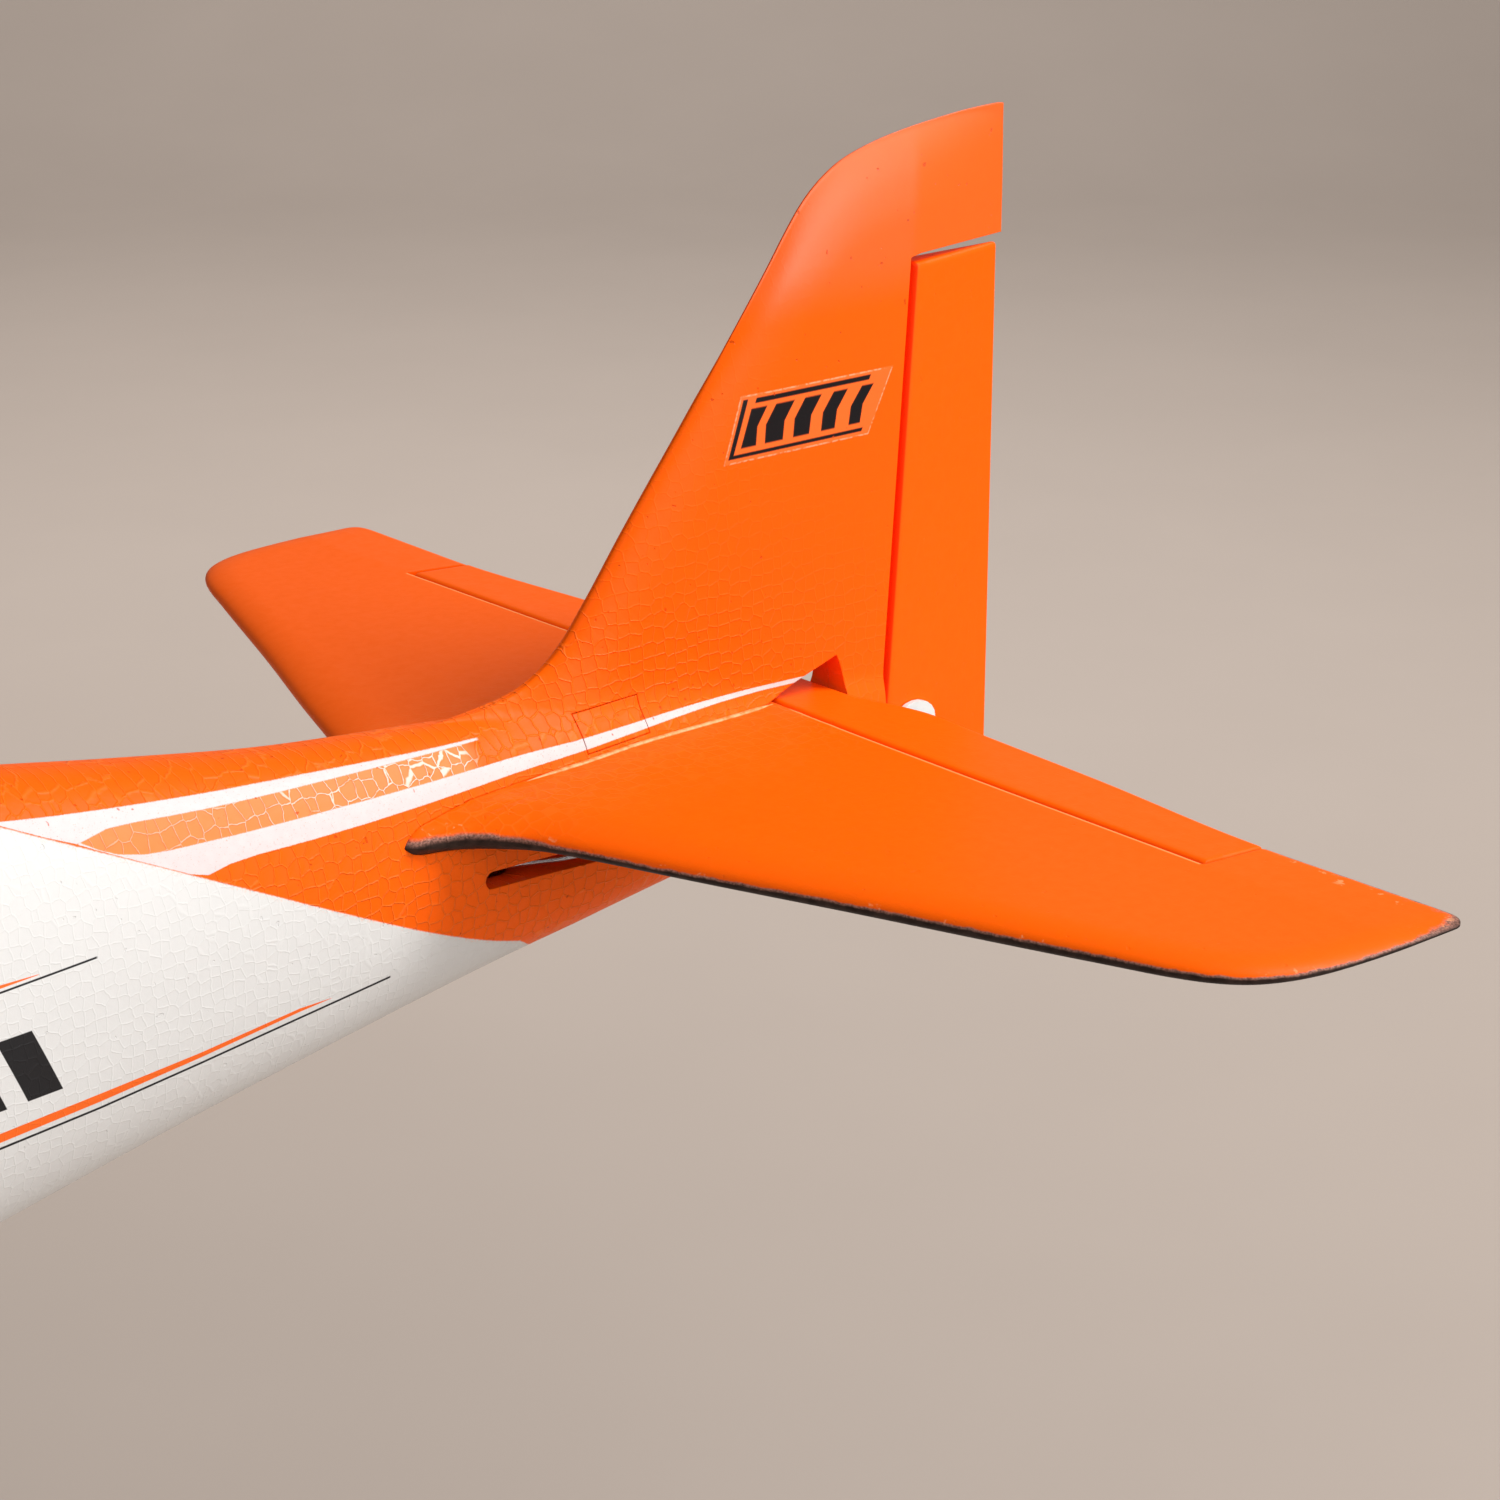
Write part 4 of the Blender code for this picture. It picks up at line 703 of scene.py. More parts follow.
    def most(self, a, *rest):
        for b in rest:
            a = self.m("MAXIMUM", a, b)
        return a

    def finish(self, colour, rough, height=None, round_mm=0.0, metallic=0.0, spec=0.5, coat=0.0, sss=0.0):
        self.put(self.b.inputs["Base Color"], colour)
        self.put(self.b.inputs["Roughness"], rough)
        self.put(self.b.inputs["Metallic"], metallic)
        self.put(self.b.inputs["Specular IOR Level"], spec)
        self.put(self.b.inputs["Coat Weight"], coat)
        self.b.inputs["Coat Roughness"].default_value = 0.08
        if sss:
            self.b.inputs["Subsurface Weight"].default_value = sss
            self.b.inputs["Subsurface Radius"].default_value = (0.004, 0.004, 0.0035)
            self.b.inputs["Subsurface Scale"].default_value = 0.6
        normal = None
        if round_mm:
            n = self.t.nodes.new("ShaderNodeBevel")
            n.samples = 4
            n.inputs["Radius"].default_value = round_mm * 0.001
            normal = n.outputs[0]
        if height is not None:
            n = self.t.nodes.new("ShaderNodeBump")
            n.inputs["Distance"].default_value = 0.001
            n.inputs["Strength"].default_value = 1.0
            self.put(n.inputs["Height"], height)
            if normal is not None:
                self.t.links.new(normal, n.inputs["Normal"])
            normal = n.outputs[0]
        if normal is not None:
            self.t.links.new(normal, self.b.inputs["Normal"])
        return self.mat


ORANGE_C = (1.0, 0.119, 0.0)
ORANGE_LIT = (1.0, 0.22, 0.03)
FILM_C = (0.68, 0.605, 0.595)
FOAM_C = (0.70, 0.687, 0.667)
INK = (0.012, 0.011, 0.012)

# side-view lines of the paint and the trim film, station millimetres
PAINT_EDGE = [(60, -75), (72, -62), (84, -47), (96.4, -38.6), (113, -31.8), (131, -24.1), (149.3, -15.4), (171.5, -3.9), (185.6, 3.6), (194.3, 7.8), (200.8, 10.6), (210.4, 15.3), (219.7, 19.8), (228.6, 24.3), (235.2, 27.3), (245.6, 32.2), (275, 40.6), (330, 48.4), (400, 54.8), (455, 57.2), (470, 57.0)]
LINE_TOP = [(102.9, 17.8), (109, 18.2), (126.6, 19.5), (146.3, 21.1), (159.9, 22.0), (186.7, 25.3), (206.2, 27.6), (227.7, 30.2), (244.9, 33.2), (252, 35.0)]
LINE_LOW = [(102.9, 17.1), (109.8, 17.7), (128, 18.4), (148.2, 19.4), (161.8, 20.1), (189.2, 22.5), (200.4, 23.6), (210.3, 24.6), (219, 25.4), (228.2, 24.5), (235.2, 27.5), (245.6, 32.4)]
STRIPE_TOP = [(-13.6, 8.7), (25.7, 9.6), (57.1, 11.2), (79.1, 12), (98.7, 12), (114.2, 12.3), (132, 13.1), (152.1, 14), (165.7, 14.3), (192.7, 16.5), (203.9, 17.3), (211.4, 18.2), (218.5, 20), (223.1, 22.1), (228.2, 25.2)]
STRIPE_LOW = [(-14.3, 7.2), (26.7, 8.1), (58.4, 9), (80.9, 8.8), (100.7, 8.3), (116.4, 7.9), (134.2, 8.5), (154.6, 8.7), (167.8, 9.6), (180.7, 10.1), (189.4, 10.2), (195.9, 9.4), (200.8, 10.9), (210.4, 15.6), (219.7, 20.1), (228.2, 24.4)]
PIN_LOW = [(143.8, -32.5), (173, -34.2), (203.7, -36.1), (232.9, -37.6), (260.6, -38.2), (300, -38.6), (340, -38.8)]
PIN_ORANGE_TOP = [(162, -32.0), (173.2, -31.4), (203.8, -33.1), (233, -33.7), (260.6, -34.2), (300, -34.5), (340, -34.6)]
PIN_ORANGE_LOW = [(162, -32.0), (173.1, -32.4), (203.8, -34.5), (232.9, -35.9), (260.6, -36.6), (300, -37.0), (340, -37.2)]
PIN_HIGH = [(230.4, 0.0), (257.1, -0.5), (300, -1.3), (340, -2.0)]


def eased(points, upto, degree, n=12):
    """The points with their run below upto drawn as one smooth curve."""
    run = np.array([p for p in points if p[0] <= upto])
    c = np.polyfit(run[:, 0] / 100, run[:, 1], degree)
    xs = np.linspace(run[0, 0], run[-1, 0], n)
    return [(float(x), float(np.polyval(c, x / 100))) for x in xs] + [p for p in points if p[0] > upto]


LINE_TOP, LINE_LOW = eased(LINE_TOP, 246, 3), eased(LINE_LOW, 212, 3)
STRIPE_TOP, STRIPE_LOW = eased(STRIPE_TOP, 204, 3), eased(STRIPE_LOW, 182, 3)
PAINT_EDGE = [PAINT_EDGE[k] for k in range(3)] + eased(PAINT_EDGE[3:], 246, 4, 16)


def foam_cells(g, size, stretch, strength, edge=0.16):
    """Height in mm of the bead pattern, and its edge mask."""
    d = g.cells(size, stretch)
    line = g.rise(d, edge, 0.0)
    dome = g.rise(d, 0.0, 0.45)
    h = g.mul(g.sub(g.mul(line, 1.0), g.mul(dome, 0.35)), strength)
    return h, line


def body_material():
    g = Graph("fuselage_foam")
    x, z = g.x, g.z
    rag = g.mul(g.sub(g.noise(1.6, 3.0, 0.7), 0.5), 0.8)
    zn = g.add(z, rag)
    orange = g.rise(g.sub(g.add(z, g.mul(rag, 0.7)), g.curve(x, PAINT_EDGE)), -0.25, 0.25)
    fine = g.mul(g.sub(g.noise(2.4, 3.0, 0.7), 0.5), 0.34)
    zf = g.add(z, fine)
    stripe = g.mul(
        g.rise(g.sub(g.curve(x, STRIPE_TOP), zf), -0.05, 0.2),
        g.rise(g.sub(zf, g.curve(x, STRIPE_LOW)), -0.05, 0.2),
        g.rise(x, -14.3, -13.9),
        g.rise(x, 228.4, 227.6),
    )
    line = g.mul(
        g.rise(g.sub(g.curve(x, LINE_TOP), zf), -0.05, 0.2),
        g.rise(g.sub(zf, g.curve(x, LINE_LOW)), -0.05, 0.2),
        g.rise(x, 102.4, 103.6),
        g.rise(x, 249.0, 246.0),
    )
    on_side = g.rise(g.side, 1.5, 2.5)
    film = g.mul(g.most(stripe, line), on_side)
    # worn specks along the film's edges
    film = g.mul(film, g.sub(1.0, g.mul(g.rise(g.noise(2.6, 2.0, 0.6), 0.66, 0.7), 0.55)))
    # clear carrier film between the two white lines; its peach tint is partly the film and partly a painted highlight
    # on the upward-facing shoulder
    carrier_film_and_sheen = g.mul(
        g.rise(g.sub(g.curve(x, LINE_TOP), zf), -0.05, 0.2),
        g.rise(g.sub(zf, g.curve(x, STRIPE_LOW)), -0.05, 0.2),
        g.rise(x, 104.0, 112.0),
        g.rise(x, 228.4, 227.6),
        on_side,
    )
    # pinstripes and dark marks of the white flank
    white_side = g.mul(g.sub(1.0, orange), on_side)
    pin_low = g.curve(x, PIN_LOW)
    pin = g.mul(g.band(z, g.sub(pin_low, 0.32), g.add(pin_low, 0.32), 0.08), g.rise(x, 143.4, 144.0), g.rise(x, 340.0, 339.0))
    pin_high = g.curve(x, PIN_HIGH)
    pin2 = g.mul(g.band(z, g.sub(pin_high, 0.25), g.add(pin_high, 0.25), 0.08), g.rise(x, 230.2, 231.0), g.rise(x, 340.0, 339.0))
    pin_o = g.mul(g.rise(g.sub(g.curve(x, PIN_ORANGE_TOP), z), -0.08, 0.08), g.rise(g.sub(z, g.curve(x, PIN_ORANGE_LOW)), -0.08, 0.08), g.rise(x, 162.5, 163.5), g.rise(x, 340.0, 339.0))
    pin_o2 = g.mul(g.band(z, g.add(pin_high, 0.9), g.add(pin_high, g.curve(x, [(246, 1.0), (262, 2.0), (300, 2.8), (340, 3.0)])), 0.08), g.rise(x, 246.0, 247.0), g.rise(x, 340.0, 339.0))
    # three slanted bars between the pinstripes
    u = g.add(x, g.mul(g.add(z, 20.0), -0.42))
    bars = None
    for a in (246.8, 262.0, 277.2):
        k = g.band(u, a, a + 9.6, 0.1)
        bars = k if bars is None else g.most(bars, k)
    bars = g.mul(bars, g.band(z, -28.6, -11.6, 0.1))
    # same trim again ahead of the wing
    fore = g.mul(g.band(z, g.curve(x, [(555, -20), (640, -17), (700, -14)]), g.curve(x, [(555, -12), (640, -10), (700, -13.4)]), 0.1), g.rise(x, 555.0, 556.0), g.rise(x, 700.0, 699.0))
    fore2 = g.mul(g.band(z, g.curve(x, [(555, -24.4), (700, -17.4)]), g.curve(x, [(555, -23.4), (700, -17.0)]), 0.1), g.rise(x, 555.0, 556.0), g.rise(x, 690.0, 689.0))
    nose = g.rise(g.add(x, g.mul(z, 0.35)), 742.0, 742.6)
    ink = g.mul(g.most(pin, pin2, bars, fore2), white_side)
    trim = g.mul(g.most(pin_o, pin_o2, fore), white_side)
    ink_o = g.most(g.mul(orange, g.sub(1.0, film)), g.mul(trim, 1.0), nose)
    # decal on the fin: a clear film with dark bars
    v = g.m("MULTIPLY_ADD", z, 1 / 18.0, -74.1 / 18.0)
    front = g.m("MULTIPLY_ADD", v, -6.9, 15.6)
    aft = g.m("MULTIPLY_ADD", v, -9.5, -37.7)
    w = g.m("DIVIDE", g.sub(front, x), g.sub(front, aft))
    decal = g.mul(g.band(v, 0.0, 1.0, 0.012), g.band(w, 0.0, 1.0, 0.005), on_side)
    bar_hi = g.mul(g.band(v, 0.86, 0.94, 0.015), g.band(w, 0.10, 0.86, 0.004))
    bar_lo = g.mul(g.band(v, 0.07, 0.13, 0.015), g.band(w, 0.02, 0.94, 0.004))
    bar_v = g.mul(g.band(v, 0.07, 0.94, 0.015), g.band(w, 0.02, 0.05, 0.004))
    hatch = g.m("FRACT", g.m("MULTIPLY_ADD", w, 5.2, g.mul(g.m("ABSOLUTE", g.sub(v, 0.5)), -0.55)))
    chev = g.mul(g.band(hatch, 0.12, g.curve(w, [(0, 0.88), (0.5, 0.72), (1, 0.5)]), 0.02), g.band(v, 0.21, 0.79, 0.02), g.band(w, 0.085, 0.93, 0.004))
    decal_ink = g.mul(g.most(bar_hi, bar_lo, bar_v, chev), decal)
    # colours
    dirt = g.noise(0.02, 4.0, 0.6)
    mott = g.noise(0.35, 3.0, 0.55)
    strength = g.mul(
        g.curve(x, [(-60, 0.12), (-10, 0.42), (20, 0.8), (60, 1.0), (110, 1.0), (190, 0.85), (260, 0.6)]),
        g.curve(z, [(14, 1.0), (30, 0.8), (46, 0.35), (80, 0.12), (160, 0.08)]),
    )
    strength = g.blend(g.rise(x, 112.0, 125.0), strength, g.curve(x, [(112, 1.0), (190, 0.85), (260, 0.6)]))
    h_o, line_o = foam_cells(g, 3.9, (1.0, 0.22, 1.0), 1.0, 0.075)
    h_w, line_w = foam_cells(g, 3.3, (1.0, 0.22, 1.0), 1.0, 0.085)
    per_cell = g.cells(3.3, (1.0, 0.22, 1.0), "F1")
    hue = g.t.nodes.new("ShaderNodeSeparateColor")
    g.t.links.new(per_cell, hue.inputs[0])
    orange_c = g.mix(g.mul(g.rise(mott, 0.35, 0.75), 0.14), ORANGE_C, (0.86, 0.095, 0.0006))
    orange_c = g.mix(g.mul(line_o, strength, 0.34), orange_c, ORANGE_LIT)
    # peach tint of the carrier band: partly the film, partly painted highlight
    orange_c = g.mix(g.mul(carrier_film_and_sheen, 0.75), orange_c, (0.96, 0.27, 0.085))
    orange_c = g.mix(g.mul(carrier_film_and_sheen, g.rise(line_o, 0.4, 0.9), g.rise(g.noise(0.12, 3.0, 0.6), 0.28, 0.5), g.curve(x, [(100, 1.0), (150, 0.85), (200, 0.4), (230, 0.2)])), orange_c, (0.92, 0.70, 0.60))
    white_c = g.mix(g.mul(hue.outputs[0], 0.10), FOAM_C, (0.63, 0.62, 0.60))
    white_c = g.mix(g.mul(line_w, 0.18), white_c, (0.75, 0.74, 0.72))
    colour = g.mix(orange, white_c, orange_c)
    # a soft edge of overspray along the paint line
    colour = g.mix(g.mul(g.band(g.sub(z, g.curve(x, PAINT_EDGE)), -0.9, 0.1, 0.5), g.rise(g.noise(1.4, 3.0, 0.7), 0.52, 0.62), 0.35), colour, (0.95, 0.42, 0.25))
    colour = g.mix(film, colour, g.mix(g.mul(g.rise(mott, 0.4, 0.7), 0.25), FILM_C, (0.92, 0.72, 0.70)))
    colour = g.mix(trim, colour, (0.93, 0.14, 0.012))
    colour = g.mix(nose, colour, ORANGE_C)
    colour = g.mix(ink, colour, INK)
    colour = g.mix(g.mul(decal, 0.22), colour, (1.0, 0.33, 0.12))
    rim = g.sub(decal, g.mul(g.band(v, 0.02, 0.98, 0.008), g.band(w, 0.007, 0.993, 0.002)))
    colour = g.mix(g.mul(g.rise(rim, 0.0, 0.6), 0.55, g.rise(g.noise(0.8, 2.0), 0.35, 0.6)), colour, (1.0, 0.5, 0.3))
    colour = g.mix(decal_ink, colour, INK)
    # painted shade in the rudder hinge gap: orange skin at and aft of the hinge line is drawn deep red
    groove = g.add(x, g.m("MULTIPLY_ADD", z, 0.0854, 44.2 + 0.0854 * 7.6))
    colour = g.mix(g.mul(g.rise(groove, 0.5, 0.1), orange, g.rise(z, -34.0, -30.0), g.rise(z, 120.0, 119.0)), colour, (1.0, 0.05, 0.0))
    pits = g.rise(g.noise(0.55, 1.0, 0.4), 0.755, 0.79)
    colour = g.mix(g.mul(pits, orange, 0.7), colour, (0.55, 0.05, 0.0))
    flat = g.sub(1.0, g.most(film, g.mul(decal, 0.8)))
    h = g.add(
        g.mul(h_o, orange, strength, flat, 0.20),
        g.mul(h_w, g.sub(1.0, orange), flat, 0.045),
    )
    h = g.add(h, g.mul(g.noise(0.9, 4.0, 0.6), 0.030, flat))
    h = g.add(h, g.mul(pits, -0.12, flat))
    h = g.add(h, g.add(g.mul(film, 0.05), g.mul(decal, 0.05)))
    rough = g.blend(orange, g.m("MULTIPLY_ADD", hue.outputs[1], 0.16, 0.42), g.m("MULTIPLY_ADD", mott, 0.14, 0.33))
    rough = g.blend(film, rough, 0.34)
    rough = g.blend(decal, rough, 0.26)
    rough = g.blend(g.rise(z, 108.0, 126.0), rough, 0.36)
    return g.finish(colour, rough, h, round_mm=0.45, spec=g.blend(g.rise(z, 108.0, 126.0), g.blend(orange, 0.22, 0.09), 0.5))


def stab_material():
    g = Graph("tailplane_foam")
    y = g.side
    mott = g.noise(0.3, 3.0, 0.55)
    h_c, line = foam_cells(g, 4.4, (1.0, 1.0, 0.5), 1.0, 0.085)
    near_root = g.rise(y, 62.0, 26.0)
    strength = g.m("MULTIPLY_ADD", near_root, 0.5, 0.07)
    orange = g.mix(g.mul(g.rise(mott, 0.35, 0.75), 0.14), ORANGE_C, (0.86, 0.095, 0.0006))
    orange = g.mix(g.mul(line, strength, 0.3), orange, ORANGE_LIT)
    wob = g.mul(g.sub(g.noise(0.25, 4.0, 0.65), 0.5), 1.1)
    width = g.curve(y, [(20, 2.3), (40, 1.7), (60, 1.1), (229, 0.8)])
    far = g.mul(g.rise(g.y, 0.0, -20.0), 1.6)
    t = g.m("DIVIDE", g.sub(g.add(g.add(g.z, wob), far), g.curve(y, [(20, 2.1), (32, 1.8), (46, 0.6), (70, 0.3), (120, 0.8), (229, 0.9)])), width)
    to_haze = g.rise(t, 0.15, -0.35)
    to_dark = g.rise(t, -0.2, -1.0)
    haze = g.mix(g.rise(g.noise(1.6, 3.0, 0.7), 0.4, 0.62), (0.42, 0.20, 0.15), (0.16, 0.075, 0.055))
    dark = g.mix(g.rise(mott, 0.3, 0.8), (0.021, 0.012, 0.009), (0.05, 0.03, 0.024))
    colour = g.mix(to_haze, orange, haze)
    colour = g.mix(to_dark, colour, dark)
    # painted highlight: a pale peach line along the tailplane's rear edge at the hinge, outboard of the root
    hinge_edge_highlight = g.mul(g.band(g.x, -0.4, 0.7, 0.2), g.rise(y, 166.2, 165.4), g.rise(y, 14.0, 18.0))
    colour = g.mix(g.mul(hinge_edge_highlight, 0.85), colour, (1.0, 0.34, 0.10))
    chips = g.mul(g.rise(g.noise(0.22, 3.0, 0.7), 0.62, 0.68), g.band(t, -0.4, 0.7, 0.25))
    colour = g.mix(g.mul(chips, 0.5), colour, (1.0, 0.42, 0.18))
    h = g.add(g.mul(h_c, strength, 0.085), g.mul(g.noise(0.8, 4.0, 0.6), 0.028))
    h = g.sub(h, g.mul(g.rise(g.noise(0.55, 1.0, 0.4), 0.755, 0.79), 0.10))
    rough = g.blend(to_dark, g.m("MULTIPLY_ADD", mott, 0.16, 0.34), 0.5)
    return g.finish(colour, rough, h, round_mm=0.5, spec=0.09)


def plain_orange(name, dark_under=False):
    g = Graph(name)
    mott = g.noise(0.3, 3.0, 0.55)
    h_c, line = foam_cells(g, 4.2, (1.0, 0.7, 0.7), 1.0, 0.085)
    colour = g.mix(g.mul(g.rise(mott, 0.35, 0.75), 0.14), ORANGE_C, (0.86, 0.095, 0.0006))
    colour = g.mix(g.mul(line, 0.03), colour, ORANGE_LIT)
    rough = g.m("MULTIPLY_ADD", mott, 0.16, 0.34)
    if not dark_under:
        # painted shade in the hinge groove: the nose within about 2 mm of the hinge is drawn deep red
        u = g.add(g.x, g.m("MULTIPLY_ADD", g.z, 0.0854, 44.2 + 0.0854 * 7.6))
        colour = g.mix(g.rise(u, -2.3, -1.7), colour, (1.0, 0.045, 0.0))
    else:
        # painted shade in the hinge groove: the front of the elevator's nose, forward of x = -1.9 mm, is drawn deep
        # red
        colour = g.mix(g.rise(g.x, -2.6, -1.9), colour, (1.0, 0.055, 0.0))
    if dark_under:
        k = g.rise(g.add(g.z, g.mul(g.sub(g.noise(0.25, 4.0, 0.6), 0.5), 0.8)), -0.3, -1.2)
        colour = g.mix(k, colour, g.mix(g.rise(mott, 0.3, 0.8), (0.021, 0.012, 0.009), (0.05, 0.03, 0.024)))
        rough = g.blend(k, rough, 0.5)
    h = g.add(g.mul(h_c, 0.012), g.mul(g.noise(0.8, 4.0, 0.6), 0.026))
    h = g.sub(h, g.mul(g.rise(g.noise(0.55, 1.0, 0.4), 0.76, 0.79), 0.10))
    return g.finish(colour, rough, h, round_mm=0.5, spec=0.09)


def wing_material(name, under):
    """White bead foam with an orange outer panel, two raked lines and a dark outer underside."""
    g = Graph(name)
    y, x = g.side, g.x
    mott = g.noise(0.3, 3.0, 0.55)
    h_c, line = foam_cells(g, 3.6, (1.0, 1.0, 0.5), 1.0, 0.10)
    cell = g.cells(3.6, (1.0, 1.0, 0.5), "F1")
    hue = g.t.nodes.new("ShaderNodeSeparateColor")
    g.t.links.new(cell, hue.inputs[0])
    white = g.mix(g.mul(hue.outputs[0], 0.10), FOAM_C, (0.63, 0.62, 0.60))
    white = g.mix(g.mul(line, 0.3), white, (0.75, 0.74, 0.72))
    u = g.add(g.add(y, g.mul(g.sub(x, 420.0), 0.55)), g.mul(g.sub(g.noise(0.9, 3.0, 0.65), 0.5), 0.8))
    if under:
        paint = g.rise(u, 470.0, 470.6)
        dark = g.mix(g.rise(mott, 0.3, 0.8), (0.021, 0.012, 0.009), (0.05, 0.03, 0.024))
        colour = g.mix(paint, white, dark)
        colour = g.mix(g.band(u, 452.0, 462.0, 0.2), colour, ORANGE_C)
        rough = g.blend(paint, 0.48, 0.5)
    else:
        paint = g.rise(u, 360.0, 360.6)
        orange = g.mix(g.mul(g.rise(mott, 0.35, 0.75), 0.14), ORANGE_C, (0.86, 0.095, 0.0006))
        orange = g.mix(g.mul(line, 0.10), orange, ORANGE_LIT)
        colour = g.mix(paint, white, orange)
        film = g.most(g.band(u, 372.0, 378.0, 0.2), g.band(u, 384.0, 396.0, 0.2))
        colour = g.mix(film, colour, FILM_C)
        colour = g.mix(g.band(u, 345.6, 346.8, 0.1), colour, INK)
        colour = g.mix(g.band(u, 349.0, 352.4, 0.1), colour, (0.93, 0.14, 0.012))
        rough = g.blend(paint, 0.46, g.m("MULTIPLY_ADD", mott, 0.16, 0.34))
    h = g.add(g.mul(h_c, g.blend(paint, 0.05, 0.03)), g.mul(g.noise(0.8, 4.0, 0.6), 0.028))
    return g.finish(colour, rough, h, round_mm=0.5, spec=0.09)


def plastic(name, a, b, rough, grain=0.012, scale=2.5, coat=0.0):
    g = Graph(name)
    n = g.noise(0.25, 4.0, 0.6)
    scr = g.noise(0.6, 3.0, 0.7, stretch=(0.15, 2.0, 2.0))
    colour = g.mix(g.rise(n, 0.3, 0.75), a, b)
    h = g.add(g.mul(g.noise(scale, 3.0, 0.6), grain), g.mul(g.rise(scr, 0.66, 0.7), -0.004))
    return g.finish(colour, g.m("MULTIPLY_ADD", n, 0.16, rough - 0.08), h, round_mm=0.25, coat=coat)


def metal(name, a, b, rough, stretch):
    g = Graph(name)
    n = g.noise(3.0, 4.0, 0.7, stretch=stretch)
    colour = g.mix(n, a, b)
    return g.finish(colour, g.m("MULTIPLY_ADD", n, 0.22, rough - 0.1), g.mul(n, 0.01), round_mm=0.2, metallic=1.0)


def carbon(name, stretch):
    g = Graph(name)
    n = g.noise(1.6, 5.0, 0.75, stretch=stretch)
    colour = g.mix(g.rise(n, 0.35, 0.7), (0.012, 0.012, 0.013), (0.045, 0.045, 0.048))
    return g.finish(colour, g.m("MULTIPLY_ADD", n, 0.2, 0.24), g.mul(n, 0.02), coat=0.3)


def wrap_material(name):
    """Heat-shrink sleeve of the battery: dark blue with a paler generic band, wrinkled at its ends."""
    g = Graph(name)
    n = g.noise(0.12, 4.0, 0.6)
    wr = g.noise(0.5, 3.0, 0.6, stretch=(3.0, 0.3, 0.3))
    end = g.m("MAXIMUM", g.rise(g.x, 570.0, 564.0), g.rise(g.x, 642.0, 648.0))
    band = g.m("MAXIMUM", g.band(g.x, 580.0, 583.0, 0.1), g.band(g.x, 586.0, 587.0, 0.1))
    colour = g.mix(n, (0.012, 0.022, 0.12), (0.02, 0.04, 0.20))
    colour = g.mix(band, colour, (0.6, 0.62, 0.65))
    h = g.add(g.mul(wr, end, 0.35), g.mul(n, 0.05))
    return g.finish(colour, g.m("MULTIPLY_ADD", n, 0.15, 0.22), h, round_mm=0.6, coat=0.2)


def canopy_material():
    g = Graph("canopy_gloss")
    n = g.noise(0.25, 4.0, 0.6)
    rimz = g.curve(g.x, [(446, 30.5), (474, 30.5), (698, 1.5), (722, 16.0), (740, 30.0)])
    border = g.rise(g.sub(g.z, rimz), 1.2, 0.8)
    frame_line = g.band(g.x, 566.0, 569.0, 0.15)
    pane = g.mix(g.rise(n, 0.3, 0.75), (0.008, 0.010, 0.013), (0.016, 0.019, 0.024))
    colour = g.mix(g.m("MAXIMUM", border, g.mul(frame_line, 0.6)), pane, (0.05, 0.05, 0.052))
    rough = g.blend(border, g.m("MULTIPLY_ADD", n, 0.08, 0.08), 0.42)
    h = g.add(g.mul(g.noise(0.08, 3.0, 0.5), 0.10), g.mul(g.m("MAXIMUM", border, frame_line), 0.08))
    return g.finish(colour, rough, h, round_mm=0.6, coat=g.blend(border, 0.6, 0.0))


M_BODY = body_material()
M_STAB = stab_material()
M_ORANGE = plain_orange("control_surface_foam")
M_ELEV = plain_orange("elevator_foam", True)
M_WING_TOP = wing_material("wing_foam_top", False)
M_WING_LOW = wing_material("wing_foam_under", True)
M_BLACK = plastic("black_moulding", (0.022, 0.022, 0.024), (0.036, 0.036, 0.038), 0.42)
M_WHITE = plastic("white_moulding", (0.77, 0.765, 0.75), (0.71, 0.705, 0.69), 0.36, 0.006)
M_SERVO = plastic("servo_shell", (0.016, 0.018, 0.022), (0.028, 0.03, 0.036), 0.32)
M_ELEC = plastic("shrink_sleeve", (0.018, 0.02, 0.02), (0.04, 0.044, 0.042), 0.30, 0.05, 0.5, 0.2)
M_STRAP = plastic("woven_strap", (0.02, 0.02, 0.022), (0.05, 0.05, 0.054), 0.75, 0.10, 1.8)
M_WRAP = wrap_material("battery_sleeve")
M_STEEL = metal("spring_steel", (0.52, 0.52, 0.54), (0.62, 0.62, 0.63), 0.28, (0.05, 3.0, 3.0))
M_ALU = metal("turned_aluminium", (0.70, 0.70, 0.72), (0.80, 0.80, 0.81), 0.30, (4.0, 0.4, 0.4))
M_CARBON_Y = carbon("carbon_rod", (3.0, 0.05, 3.0))
M_BLADE = carbon("blade_composite", (2.0, 0.15, 2.0))
M_CANOPY = canopy_material()
M_SPINNER = plastic("spinner_gloss", (0.80, 0.105, 0.001), (0.92, 0.125, 0.0012), 0.24, 0.003, 1.5, 0.5)


